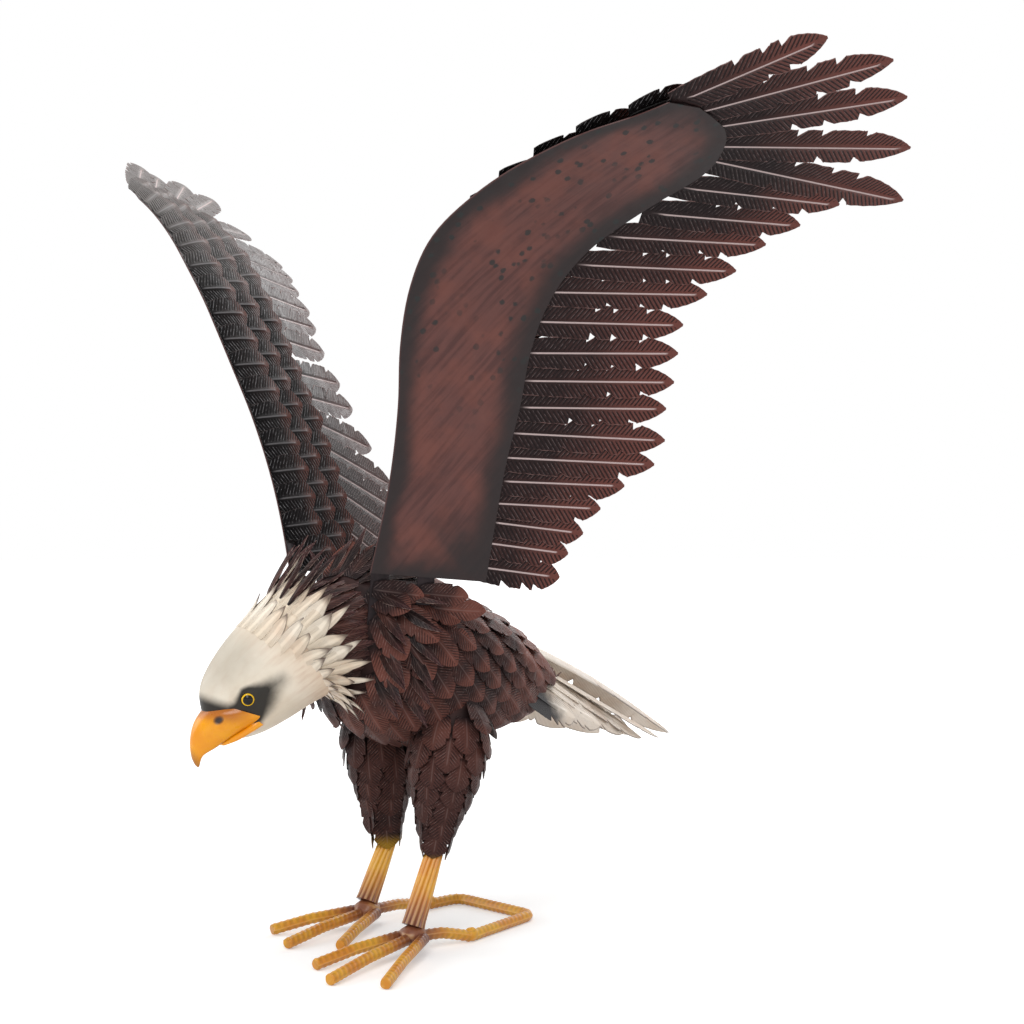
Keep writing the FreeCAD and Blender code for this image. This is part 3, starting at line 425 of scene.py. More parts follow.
plainFeather = {
    "point": 0.75, "notches": (), "notchDepth": 0.8, "notchRun": 4.0, "raise": 0.0, "curlRate": 3.0,
    "beadHeight": 0.0, "beadStart": 0.0, "beadGap": 3.0, "serration": 0.0, "fine": False}
featherKinds = {name: {**plainFeather, **values} for name, values in {
    "flight": {
        "rows": 30, "baseShare": 0.70, "shoulder": 0.72, "tipPower": 1.9, "notches": (0.40, 0.58, 0.76),
        "notchDepth": 0.64, "notchRun": 9.0, "camber": 0.05, "bow": 0.0, "tipLift": (-0.5, 0.8),
        "swing": 0.0, "beadHeight": 1.5, "curlRate": 1.0, "beadStart": 14.0, "beadGap": 11.0,
        "serration": 0.035, "fine": True},
    "covert": {
        "rows": 16, "baseShare": 0.72, "shoulder": 0.62, "tipPower": 2.3, "notches": (0.50,),
        "notchDepth": 0.74, "notchRun": 5.0, "camber": 0.08, "bow": 0.04, "tipLift": (0.0, 1.8),
        "swing": 1.0, "beadHeight": 1.1, "raise": 0.6, "curlRate": 0.9, "beadStart": 0.5, "beadGap": 9.0,
        "fine": True},
    "plumage": {
        "rows": 12, "baseShare": 0.62, "shoulder": 0.58, "tipPower": 2.2, "notches": (0.60,),
        "notchDepth": 0.74, "notchRun": 5.0, "camber": 0.10, "bow": 0.025, "tipLift": (-2.4, -0.4),
        "swing": 1.5, "beadHeight": 0.9, "curlRate": 2.0, "beadGap": 5.0},
    "hackle": {
        "rows": 12, "baseShare": 0.4, "shoulder": 0.50, "tipPower": 1.3, "point": 0.9, "camber": 0.22,
        "bow": 0.03, "tipLift": (-3.0, 7.0), "swing": 5.0, "beadHeight": 0.8},
    "collar": {
        "rows": 14, "baseShare": 0.98, "shoulder": 0.50, "tipPower": 1.5, "point": 1.0, "camber": 0.05,
        "bow": 0.01, "tipLift": (-2.0, 7.0), "swing": 6.0},
}.items()}
featherKinds["tail"] = dict(featherKinds["flight"], notches=(0.45, 0.62, 0.78), camber=0.08, beadHeight=1.1,
                            notchDepth=0.70, tipLift=(-0.5, 0.5), baseShare=0.8, serration=0.02)
# Thickness in millimetres, the rest as shares of a feather's length or half width
sheetLook = {
    "thickness": 0.65, "tipShare": 0.07, "quillHalf": 0.15, "quillReach": 0.2, "beadRun": 0.012,
    "notchStep": 0.004, "notchShift": 0.045, "notchSpread": 0.06, "toothEnd": 0.97, "tipCrowd": 1.4,
    "widenRun": 0.4, "widenPower": 0.6, "camberPower": 1.6,
}
fineColumns = (1, 0.8, 0.5, 0.22, 0.14, 0.07, 0, -0.07, -0.14, -0.22, -0.5, -0.8, -1)
plainColumns = (1, 0.5, 0, -0.5, -1)


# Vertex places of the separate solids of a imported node
def islands(node):
    shape = bmesh.new()
    shape.from_mesh(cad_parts[node].data)
    bmesh.ops.remove_doubles(shape, verts=shape.verts, dist=1e-6)
    seen = set()
    for start in shape.verts:
        if start in seen:
            continue
        seen.add(start)
        stack, group = [start], []
        while stack:
            vert = stack.pop()
            group.append(vert.co[:])
            fresh = {edge.other_vert(vert) for edge in vert.link_edges} - seen
            seen |= fresh
            stack += fresh
        yield np.array(group)
    shape.free()


# Base, tip, outward normal and width of each flat feather of a node; the narrower end is the tip
def leafPlaces(node, outward):
    for points in islands(node):
        middle = points.mean(0)
        turned = np.linalg.svd(points - middle, full_matrices=False)[2]
        run, across = (points - middle) @ turned[0], (points - middle) @ turned[1]
        ends = []
        for sign in (1, -1):
            near = run * sign > (run * sign).max() - 1.2 * mm
            ends.append((np.ptp(across[near]), Vector(points[near].mean(0))))
        ends.sort(key=lambda end: end[0])
        normal = Vector(turned[2])
        if normal.dot(outward(Vector(middle))) < 0:
            normal.negate()
        yield ends[1][1], ends[0][1], normal, float(2 * np.abs(across).max())


# Half width of a feather at a share of its length
def outlineShare(t, kind):
    widened = min(t / sheetLook["widenRun"], 1.0) ** sheetLook["widenPower"]
    start = kind["baseShare"] + (1 - kind["baseShare"]) * widened
    if t > kind["shoulder"]:
        past = (t - kind["shoulder"]) / (1 - kind["shoulder"])
        start *= max(0.0, 1 - past ** kind["tipPower"]) ** kind["point"]
    return max(start, sheetLook["tipShare"])


# One pressed and notched feather as a bent sheet
def addFeather(shape, spot, kind, rng):
    base, tip, normal, width = spot
    length = (tip - base).length
    ahead = (tip - base) / length
    side = normal.cross(ahead).normalized()
    out = ahead.cross(side)
    run, drop, look = kind["notchRun"] * mm / length, sheetLook["notchStep"], sheetLook
    notches = [[(centre + rng.uniform(-1, 1) * look["notchShift"],
                 kind["notchDepth"] + rng.uniform(-1, 1) * look["notchSpread"])
                for centre in kind["notches"]] for edge in range(2)]
    stations = {1 - (1 - i / kind["rows"]) ** look["tipCrowd"] for i in range(kind["rows"] + 1)}
    for start, depth in notches[0] + notches[1]:
        stations |= {start, start + drop, start + run}
    stations = sorted(t for t in stations if t <= 1)
    columns = fineColumns if kind["fine"] else plainColumns
    chance, lift = rng.random(), rng.uniform(*kind["tipLift"]) * mm
    swing = rng.uniform(-1, 1) * kind["swing"] * mm
    beadStart, beadEnd = kind["beadStart"] * mm / length, 1 - kind["beadGap"] * mm / length

    def pointAt(row, column):
        t, s = stations[row], columns[column]
        onQuill = abs(s) < look["quillReach"]
        half = outlineShare(t, kind) * width / 2
        for start, depth in notches[0 if s < 0 else 1]:
            if start < t < start + run:
                half *= depth + (1 - depth) * max(0.0, t - start - drop) / run
        if row % 2 and t < look["toothEnd"]:
            half *= 1 - kind["serration"]
        y = s * half
        if s and onQuill:
            y = math.copysign(min(abs(s) * width / 2, half * 0.5), s)
        beaded = math.prod(min(1.0, max(0.0, way / look["beadRun"])) for way in (t - beadStart, beadEnd - t))
        ridge = kind["beadHeight"] * mm * beaded * max(0.0, 1 - (abs(s) / look["quillHalf"]) ** 2)
        curl = kind["camber"] * abs(s) ** look["camberPower"] * half * min(1.0, t * kind["curlRate"])
        z = ridge + kind["raise"] * mm - curl + kind["bow"] * length * math.sin(math.pi * t) + lift * t ** 3
        point = base + ahead * (t * length) + side * (y + swing * t * t) + out * z
        return point, (chance, t, abs(s), beaded * onQuill), (t * length * 100, y * 100, 0.0)

    made = addSheet(shape, len(stations) - 1, len(columns) - 1, pointAt)
    faces = {face for vert in made for face in vert.link_faces}
    lower = bmesh.ops.extrude_face_region(shape, geom=list(faces))["geom"]
    lower = [part for part in lower if isinstance(part, bmesh.types.BMVert)]
    bmesh.ops.translate(shape, verts=lower, vec=out * (-sheetLook["thickness"] * mm))


paintSlots = {"plumage": "plumage_paint", "hackle": "plumage_paint", "flight": "flight_paint",
              "covert": "flight_paint", "collar": "head_paint"}


# Each layer: shift along the feather, lift of its base and of its tip in millimetres, and width share
def buildFeathers(name, nodes, kindName, outward, seed, layers=((0.0, 0.0, 0.0, 1.0),), spread=0.0, more=()):
    shape = newShape()
    rng = random.Random(seed)
    spots = [spot for node in nodes for spot in leafPlaces(node, outward)] + list(more)
    for base, tip, normal, width in spots:
        for shift, baseLift, tipLift, wider in layers:
            start = base + (tip - base) * shift
            grown = (tip - base) * (1 + rng.uniform(-spread, spread * 0.4))
            addFeather(shape, (start + normal * (baseLift * mm), start + grown + normal * (tipLift * mm),
                               normal, width * wider), featherKinds[kindName], rng)
    makePiece(name, shape, paints[kindName], nodes, paintSlots[kindName])


def fromBody(point):
    return Vector((point.x, 0.0, point.z - 0.26))


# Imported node, name, seed and share by which its feathers are widened
plumageRows = [
    ("breast_feathers", "breastPlumage", 1, 1.12), ("back_feathers", "backPlumage", 2, 1.12),
    ("belly_feathers", "bellyPlumage", 3, 1.05), ("flank_left_feathers", "flankLeftPlumage", 4, 1.12),
    ("flank_right_feathers", "flankRightPlumage", 5, 1.12),
]
# Shift of the left front coverts along their length, so that less of them shows past the plate's edge
covertShift = 0.18
for node, name, seed, wider in plumageRows:
    buildFeathers(name, [node], "plumage", fromBody, seed, ((0.0, 0.0, 0.0, wider),))
for side, name in ((1, "Left"), (-1, "Right")):
    low, outer = name.lower(), Vector((side * 0.8, -0.35, -0.5))
    buildFeathers("thighPlumage" + name, ["thigh_feathers_" + low], "plumage",
                  lambda p: Vector((p.x - side * 0.054, p.y + 0.03, 0)), 20 + side, ((0.0, 0.0, 0.0, 1.25),))
    buildFeathers("shoulderPlumage" + name, ["shoulder_feathers_" + low], "plumage",
                  lambda p: Vector((side, -0.3, 0)), 25 + side, ((0.0, 0.0, 0.0, 0.85),), 0.3)
    for kind in ("primaries", "secondaries"):
        buildFeathers(kind + name, [kind + "_" + low], "flight", lambda p: outer, 30 + side)
    for row in ("front", "middle", "rear"):
        shift = covertShift if side > 0 and row == "front" else 0.0
        buildFeathers(row + "Coverts" + name, ["coverts_" + row + "_" + low], "covert", lambda p: -outer,
                      40 + side, ((shift, 0.0, 0.0, 1.0),))


# Wing sheets

wingShape = {
    1: {"out": 101.0, "sweep": (26.0, 26.0), "lean": 14.0, "bends": ((200.0, 19.0), (185.0, 54.0))},
    -1: {"out": 96.5, "sweep": (19.9, 29.5), "lean": 14.6, "bends": ((245.0, 25.5), (174.0, 59.9))},
    "root": 334.0, "height": 460.0, "chord": 110.0, "sheet": 1.0, "rows": 66, "columns": 18,
}
# Front place along the chord and up the sheet, then rear place, as shares
plateEdges = [
    (-0.82, 0.002, 0.17, -0.020), (-0.75, 0.124, 0.21, 0.124), (-0.72, 0.217, 0.24, 0.217),
    (-0.72, 0.326, 0.30, 0.326), (-0.755, 0.435, 0.33, 0.435), (-0.745, 0.554, 0.43, 0.543),
    (-0.655, 0.654, 0.64, 0.641), (-0.42, 0.746, 1.01, 0.739), (-0.13, 0.828, 1.33, 0.822),
    (0.20, 0.900, 1.39, 0.887), (0.55, 0.952, 1.31, 0.939), (0.76, 0.989, 1.02, 0.983),
]
plateLook = {"middle": "#5F3A35", "streak": "#4A2B28", "blotch": "#724238", "rim": "#1D1718",
             "spot": "#1E2222", "edge": "#7A4A45", "wander": 0.22, "ragged": 0.30, "spotShare": 0.85,
             "spotSize": 11.765, "peelSize": 3.846, "streakTurn": 52.0, "streakStretch": (0.8, 0.07, 1.0),
             "peel": (0.10, 0.35), "dents": (2.2, 0.5)}
platePatterns = {"wander": (62.5, 3.0), "streaks": (83.33, 4.0), "blotches": (45.45, 4.0),
                 "ragged": (4.545, 3.0), "patches": (76.92, 2.0), "dents": (111.1, 1.0),
                 "satin": (16.67, 4.0)}
plateFades = {
    "front": (0.02, 0.26), "rear": (0.66, 1.0, 1.0, 0.0), "low": (-0.02, 0.12),
    "high": (0.78, 1.0, 1.0, 0.0), "streak": (0.40, 0.66), "blotch": (0.42, 0.66, 0.0, 0.6),
    "rim": (0.0, 1.0, 0.95, 0.0), "spot": (0.32, 0.44, 1.0, 0.0), "patch": (0.36, 0.50),
    "spotHeight": (0.18, 0.42), "edge": (0.0, 0.012, 0.3, 0.0), "gloss": (0.3, 0.7, 0.40, 0.54),
}
# The sheet's tone holds the flat place in tenths of a metre
plateUnit = 0.01


# Point of the bent wing sheet, chord back along it and height up it
def sheetPoint(side, chord, height):
    shape = wingShape[side]
    out, level, lean = shape["out"], wingShape["root"], shape["lean"]
    whole = sum(run for run, end in shape["bends"])
    first, last = shape["sweep"]
    sweep = math.radians(first + (last - first) * min(max(height, 0.0), whole) / whole)
    rest = height
    for run, end in shape["bends"] if height > 0 else ():
        length = min(rest, run)
        turned = lean + (end - lean) * length / run
        radius = run / math.radians(end - lean)
        out += radius * (math.cos(math.radians(lean)) - math.cos(math.radians(turned)))
        level += radius * (math.sin(math.radians(turned)) - math.sin(math.radians(lean)))
        lean = turned
        rest -= length
        if rest <= 0:
            break
    out += rest * math.sin(math.radians(lean))
    level += rest * math.cos(math.radians(lean))
    x = side * (chord * math.sin(sweep) + out * math.cos(sweep))
    return Vector((x, chord * math.cos(sweep) - out * math.sin(sweep), level)) * mm


def buildPlate(side, name):
    rows, columns = wingShape["rows"], wingShape["columns"]
    shape = newShape()

    def pointAt(row, column):
        frontS, frontV, rearS, rearV = smoothRows(plateEdges, row / rows)
        t = column / columns
        chord = wingShape["chord"] * (frontS + (rearS - frontS) * t)
        height = wingShape["height"] * (frontV + (rearV - frontV) * t)
        flat = (chord * plateUnit, height * plateUnit, 0.0, 1.0)
        return sheetPoint(side, chord, height), flat, (t, row / rows, 0.0)

    addSheet(shape, rows, columns, pointAt)
    shape.normal_update()
    bmesh.ops.solidify(shape, geom=shape.faces[:], thickness=side * wingShape["sheet"] * mm)
    makePiece("plate" + name, shape, platePaint, ["wing_plate_" + name.lower()], "wing_paint", 60.0)


# Satin red-brown lacquer, airbrushed dark round its edges, with slanting streaks and sponged dark spots
def makePlatePaint():
    look = plateLook
    paint, shader, wire = newPaint("plateLacquer", {
        "Specular IOR Level": 0.25, "Coat Weight": 0.05, "Coat Roughness": 0.3}, plateFades, platePatterns,
        plateUnit)
    across, up = wire("axes", wire("sheet"))[:2]
    flat = wire("tone")
    wander = wire("multiply", wire("subtract", wire("wander", flat), 0.5), look["wander"])
    back, high = wire("add", across, wander), wire("add", up, wander)
    middle = wire("multiply", wire("front", back), wire("rear", back), wire("low", high), wire("high", high))
    turned = wire("turned", flat, (0.0, 0.0, math.radians(look["streakTurn"])), look["streakStretch"])
    cells = wire("cells", flat, 1 / (look["spotSize"] * plateUnit))
    ragged = wire("add", cells, wire("multiply", wire("ragged", flat), look["ragged"]))
    base = lay(wire, look["middle"], (wire("streak", wire("streaks", turned)), look["streak"]),
               (wire("blotch", wire("blotches", flat)), look["blotch"]), (wire("rim", middle), look["rim"]),
               (wire("spot", ragged), wire("patch", wire("patches", flat)), wire("spotHeight", up),
                look["spotShare"], look["spot"]), (wire("edge", across), look["edge"]))
    (peel, peelShare), (dent, dentShare) = look["peel"], look["dents"]
    peel = wire("bump", wire("noise", wire("place"), 1 / (look["peelSize"] * mm), 2.0), peel * mm, peelShare)
    dents = wire("bump", wire("dents", flat), dent * mm, dentShare, peel)
    finish(shader, base, dents, wire("gloss", wire("satin", flat)))
    return paint


platePaint = makePlatePaint()
for side, name in ((1, "Left"), (-1, "Right")):
    buildPlate(side, name)
print("wings made")


# Tail

tailShape = {
    "length": 300.0, "dropShare": 0.407, "halfWidth": 52.0, "baseY": 104.1, "baseZ": 269.04,
    "baseDrop": 54.0, "baseStep": 14.0, "baseSpread": 0.9, "roof": 62.0, "width": 36.0, "bulge": 7.0,
}
# Reach, spread and drop of a feather's tip and drop of its base, as shares; the ridge comes first
tailTips = [
    (0.915, 0.00, 1.02, 0.00), (0.769, 0.36, 1.017, 0.30), (0.63, 0.54, 0.975, 0.42),
    (0.49, 0.70, 0.90, 0.48), (0.325, 0.88, 0.79, 0.75), (0.165, 1.00, 0.69, 1.00),
]
featherKinds["ridge"] = dict(featherKinds["tail"], camber=0.62, curlRate=20.0, bow=tailShape["bulge"] / 274.0)


def tailSpot(side, row):
    reach, spread, drop, baseDrop = row
    shape = tailShape
    across = side * shape["halfWidth"] * spread
    base = Vector((across * shape["baseSpread"], shape["baseY"] - shape["baseStep"] * baseDrop,
                   shape["baseZ"] - shape["baseDrop"] * baseDrop)) * mm
    fall = shape["length"] * shape["dropShare"] * drop
    tip = Vector((across, shape["baseY"] + shape["length"] * reach, shape["baseZ"] - fall)) * mm
    roof = math.radians(shape["roof"] * spread)
    return base, tip, Vector((side * math.sin(roof), 0, math.cos(roof))), shape["width"] * mm


def buildTail():
    rng = random.Random(7)
    parts = [("tailLeft", "tail_feathers_left", 1, tailTips[1:], "tail"),
             ("tailRight", "tail_feathers_right", -1, tailTips[1:], "tail"),
             ("tailRidge", "tail_centre_feather", 0, tailTips[:1], "ridge")]
    for name, node, side, rows, kindName in parts:
        shape = newShape()
        for row in rows:
            addFeather(shape, tailSpot(side, row), featherKinds[kindName], rng)
        makePiece(name, shape, paints["tail"], [node], "tail_paint")


buildTail()


# Head

headShape = {
    "origin": (0.0, -118.0, 261.0), "turn": 22.0, "pitch": 38.0, "length": 121.0, "depth": 112.0,
    "width": 94.0, "rows": 72, "columns": 96, "squareness": 0.94, "eyeForward": 90.27, "eyeUp": 30.46,
    "eyeOut": 25.85, "formRise": 0.4, "patchSoft": 0.05,
}
# Width share and way forward in millimetres of the two rim rows behind and the two that close the front
headEnds = {0: (0.90, 22.0), 1: (0.955, 0.0), -2: (0.8, 1.2), -1: (0.45, 2.0)}
# Place forward, crown, throat and half width as shares
headRows = [
    (0.17, 0.69, -0.20, 0.48), (0.37, 0.69, -0.155, 0.44), (0.58, 0.655, -0.12, 0.385),
    (0.75, 0.605, -0.08, 0.305), (0.87, 0.55, -0.03, 0.22), (0.95, 0.48, 0.03, 0.16),
    (1.00, 0.39, 0.11, 0.11),
]
# Soft forms on each side: place forward and up, reach forward and up, and height, in millimetres
headForms = [
    (92.0, 42.0, 17.0, 4.5, 1.6), (84.0, 31.0, 7.0, 6.0, -0.6), (66.0, 4.0, 26.0, 17.0, 1.4),
    (60.0, 40.0, 20.0, 16.0, -0.6),
]
# Outline of the dark patch round the eye, forward and up in millimetres, with the softness of each side
eyePatch = [
    (59.5, 27.0, 5.0), (68.5, 22.0, 4.4), (75.0, 15.5, 3.8), (82.7, 10.6, 3.0), (91.5, 6.2, 1.4),
    (96.0, 6.0, 0.8), (126.0, 38.0, 0.8), (130.0, 56.0, 1.6), (118.6, 56.0, 2.4), (112.4, 45.5, 2.4),
    (106.3, 35.8, 2.0), (100.9, 34.8, 1.6), (95.0, 38.5, 1.0), (90.3, 41.2, 0.9), (84.8, 40.2, 1.0),
    (76.0, 35.5, 2.0), (66.0, 31.5, 3.6),
]
headLook = {"pale": "#E8DECD", "dull": "#DCCFBB", "crown": "#B5AD9F", "peach": "#D9AE88", "dustAndShade": "#B07F5C",
            "patch": "#0D0B0A", "softUp": 0.02, "softAhead": 0.03, "wander": 0.05, "peachShare": 0.62,
            "dustShare": (0.55, 0.07), "streaks": (0.25, 0.4)}
headPatterns = {"streaks": (5.208, 4.0), "soft": (38.46, 3.0), "wander": (7.692, 3.0)}
# The streaks' marks are this many times as long as wide
streakLength = 8.5714
# Heights and ways forward in metres
headFades = {
    "streak": (0.44, 0.70), "dull": (0.35, 0.65), "crown": (0.045, 0.078, 0.0, 0.75),
    "crownAlong": (0.030, 0.075), "neck": (0.005, 0.085, 1.0, 0.0), "patch": (0.40, 0.62, 0.97, 0.0),
    "gloss": (0.3, 0.7, 0.36, 0.48),
}
turn, pitch = math.radians(headShape["turn"]), math.radians(headShape["pitch"])
headAhead = Vector((-math.sin(turn) * math.cos(pitch), -math.cos(turn) * math.cos(pitch), -math.sin(pitch)))
headLeft = Vector((math.cos(turn), -math.sin(turn), 0))
headUp = headAhead.cross(headLeft)
headOrigin = Vector(headShape["origin"])


# Point from x forward, y up and z left in the head's own frame, in millimetres
def headPoint(x, y, z):
    return (headOrigin + headAhead * x + headUp * y + headLeft * z) * mm


# Signed way to the patch outline, below zero inside it, and the softness of its nearest side
def patchReach(x, y):
    best, soft, inside = 1e9, 1.0, False
    for (ax, ay, aSoft), (bx, by, bSoft) in zip(eyePatch, eyePatch[1:] + eyePatch[:1]):
        dx, dy = bx - ax, by - ay
        t = min(1.0, max(0.0, ((x - ax) * dx + (y - ay) * dy) / (dx * dx + dy * dy)))
        away = math.hypot(x - ax - dx * t, y - ay - dy * t)
        if away < best:
            best, soft = away, aSoft + (bSoft - aSoft) * t
        if (ay > y) != (by > y) and x < ax + dx * (y - ay) / dy:
            inside = not inside
    return (-best if inside else best) / soft


def buildHead():
    shape = newShape()
    rows, columns = headShape["rows"], headShape["columns"]

    def pointAt(row, column):
        share = min(max(row - 2, 0), rows) / rows
        forward, crown, throat, half = smoothRows(headRows, share)
        shrink, slide = headEnds.get(row, headEnds.get(row - rows - 5, (1.0, 0.0)))
        angle = 2 * math.pi * column / columns
        c, d = math.cos(angle), math.sin(angle)
        top, low = headShape["depth"] * crown, headShape["depth"] * throat
        x = headShape["length"] * forward
        y = (top + low) / 2 + (top - low) / 2 * c * shrink
        z = headShape["width"] * half * math.copysign(abs(d) ** headShape["squareness"], d) * shrink
        grow = sum(height * math.exp(-((x - px) / rx) ** 2 - ((y - py) / ry) ** 2) * abs(d)
                   for px, py, rx, ry, height in headForms)
        grown = z + math.copysign(grow, d) * (abs(d) > 0.01)
        spot = headPoint(x + slide, y + grow * c * headShape["formRise"], grown)
        return spot, (0.5 + patchReach(x, y) * headShape["patchSoft"], share, 0.0, 1.0), (x, y, z)

    addSkin(shape, rows + 4, columns, pointAt)
    makePiece("headShell", shape, headPaint, ["head_shell"], "head_paint", 60.0)


# The three ways in the head's own frame, in metres
def headAxes(wire):
    offset = wire("offset", wire("place"), headOrigin * mm)
    return [wire("dot", offset, tuple(axis)) for axis in (headAhead, headUp, headLeft)]


# Ivory eggshell lacquer: grey-beige crown, peach dust and streaks towards the neck, airbrushed black patch
def makeHeadPaint():
    look = headLook
    paint, shader, wire = newPaint("headIvory", {
        "Specular IOR Level": 0.22, "Coat Weight": 0.04, "Coat Roughness": 0.3}, headFades, headPatterns)
    x, y, z = headAxes(wire)
    reach, spot = readTones(wire)[0], wire("joined", x, y, z)
    streaks = wire("streak", wire("streaks", wire("stretched", spot, (1 / streakLength, 1.0, 1.0))))
    soft = wire("soft", spot)
    crown = wire("crown", wire("add", y, wire("multiply", soft, look["softUp"])))
    neck = wire("neck", wire("add", x, wire("multiply", soft, look["softAhead"])))
    more, least = look["dustShare"]
    wander = wire("multiply", wire("subtract", wire("wander", spot), 0.5), look["wander"])
    base = lay(wire, look["pale"], (wire("dull", soft), look["dull"]),
               (crown, wire("crownAlong", x), look["crown"]), (neck, look["peachShare"], look["peach"]),
               (streaks, wire("add", wire("multiply", neck, more), least), look["dustAndShade"]),
               (wire("patch", wire("add", reach, wander)), look["patch"]))
    depth, share = look["streaks"]
    finish(shader, base, wire("bump", streaks, depth * mm, share), wire("gloss", soft))
    return paint


headPaint = makeHeadPaint()
buildHead()

beakShape = {"length": 64.0, "depth": 42.0, "width": 46.0, "widest": 0.35, "gapeX": 91.0, "gapeY": -1.0,
             "rows": 48, "columns": 64, "closeStart": 0.95, "closeRun": 0.06, "square": (0.12, 0.23, 0.4)}
# Top and bottom places forward and up, and half width, as shares
beakRows = {
    "upper": [(0.30, 0.98, -0.07, 0.14, 0.57), (0.48, 1.00, 0.04, 0.17, 0.53), (0.69, 0.90, 0.38, 0.23, 0.37),
              (0.87, 0.67, 0.66, 0.26, 0.225), (0.98, 0.40, 0.86, 0.29, 0.12),
              (1.01, 0.19, 0.985, 0.14, 0.03)],
    "lower": [(0.06, 0.26, 0.02, 0.06, 0.50), (0.18, 0.27, 0.16, 0.07, 0.47), (0.41, 0.28, 0.38, 0.10, 0.33),
              (0.61, 0.28, 0.58, 0.19, 0.18)],
}
nostril = {"forward": 119.5, "up": 30.5, "long": 4.2, "high": 3.4}
beakLook = {"first": "#F2A204", "second": "#EA9202", "shade": "#A04E0A", "tip": "#7E430E", "hole": "#2A1712",
            "rootLean": (0.76, 0.65), "rootSoft": 0.006, "rootShare": 0.8, "holeDepth": 1.4}
# Ways forward and heights in metres, the mouth line as a share of the beak's height
beakFades = {
    "mouth": (0.0, 0.16, 0.75, 0.0), "root": (0.063, 0.074, 1.0, 0.0), "rootHeight": (0.012, 0.030),
    "tip": (0.147, 0.156, 0.0, 0.7), "hole": (0.12, 1.4, 1.0, 0.0), "second": (0.3, 0.7),
    "gloss": (0.3, 0.7, 0.24, 0.34),
}


def buildBeak(part):
    shape = newShape()
    rows, columns = beakShape["rows"], beakShape["columns"]

    def pointAt(row, column):
        share = row / rows
        topX, topY, lowX, lowY, half = smoothRows(beakRows[part], share)
        shrink = max(0.05, 1 - max(0.0, share - beakShape["closeStart"]) / beakShape["closeRun"]) ** 0.5
        angle = 2 * math.pi * column / columns
        c, d = math.cos(angle), math.sin(angle)
        # The widest level lies low, and the half below it is squarer
        level = beakShape["widest"] + (1 - beakShape["widest"] if c > 0 else beakShape["widest"]) * c * shrink
        least, more, run = beakShape["square"]
        wide = abs(d) ** (1.0 if c > 0 and part == "upper" else least + more * min(1.0, share / run))
        x = beakShape["gapeX"] + beakShape["length"] * (lowX + (topX - lowX) * level)
        y = beakShape["gapeY"] + beakShape["depth"] * (lowY + (topY - lowY) * level)
        z = beakShape["width"] * half * math.copysign(wide, d) * shrink
        return headPoint(x, y, z), (share, level, abs(d), 1.0), (x, y, z)

    addSkin(shape, rows, columns, pointAt)
    makePiece("beak" + part.title(), shape, beakPaint, ["beak_" + part], "beak_paint", 60.0)


# Glossy yellow-orange enamel, browner at the mouth line and root, with a soft dark nostril painted as the
# shade in its hollow
def makeBeakPaint():
    look = beakLook
    paint, shader, wire = newPaint("beakEnamel", {
        "Specular IOR Level": 0.35, "Coat Weight": 0.22, "Coat Roughness": 0.14}, beakFades,
        {"soft": (16.667, 3.0)})
    x, y = headAxes(wire)[:2]
    soft = wire("soft", wire("place"))
    # Way forward of the root line, which leans up and forward
    leanX, leanY = look["rootLean"]
    ahead = wire("subtract", wire("multiply", x, leanX), wire("multiply", y, leanY))
    ahead = wire("subtract", ahead, wire("multiply", soft, look["rootSoft"]))
    away = []
    for way, centre, reach in ((x, nostril["forward"], nostril["long"]), (y, nostril["up"], nostril["high"])):
        share = wire("divide", wire("subtract", way, centre * mm), reach * mm)
        away.append(wire("multiply", share, share))
    # Painted shade: the nostril's hollow darkened
    hole = wire("hole", wire("add", *away))
    base = lay(wire, look["first"], (wire("second", soft), look["second"]),
               (wire("mouth", readTones(wire)[1]), look["shade"]),
               (wire("root", ahead), wire("rootHeight", y), look["rootShare"], look["shade"]),
               (wire("tip", x), look["tip"]), (hole, look["hole"]))
    finish(shader, base, wire("bump", hole, -look["holeDepth"] * mm), wire("gloss", soft))
    return paint


beakPaint = makeBeakPaint()
for part in beakRows:
    buildBeak(part)

eyeShape = {"radius": 6.5, "ringInner": 4.35, "ringOuter": 5.55, "ringHeight": 0.35, "rows": 26,
            "columns": 48, "reach": 6.35, "hole": 0.05, "lookAhead": 0.30, "lookUp": 0.06,
            "black": "#030303", "faint": "#0B0908", "ring": "#F0BE22"}


def buildEye(side, name):
    shape = newShape()
    centre = headPoint(headShape["eyeForward"], headShape["eyeUp"], side * headShape["eyeOut"])
    axis = (headLeft * side + headAhead * eyeShape["lookAhead"] + headUp * eyeShape["lookUp"]).normalized()
    first = axis.cross(headUp).normalized()
    second = axis.cross(first)
    middle = (eyeShape["ringInner"] + eyeShape["ringOuter"]) / 2
    half = (eyeShape["ringOuter"] - eyeShape["ringInner"]) / 2

    def pointAt(row, column):
        radius = eyeShape["hole"] + (eyeShape["reach"] - eyeShape["hole"]) * row / eyeShape["rows"]
        height = math.sqrt(eyeShape["radius"] ** 2 - radius ** 2)
        height += eyeShape["ringHeight"] * max(0.0, 1 - ((radius - middle) / half) ** 2)
        angle = 2 * math.pi * column / eyeShape["columns"]
        spot = (first * math.cos(angle) + second * math.sin(angle)) * radius + axis * height
        return centre + spot * mm, (radius / 10, 0.0, 0.0, 1.0), (radius, angle, 0.0)

    addSkin(shape, eyeShape["rows"], eyeShape["columns"], pointAt)
    makePiece("eye" + name, shape, eyePaint, ["eye_" + name.lower()], "eye_paint", 60.0)


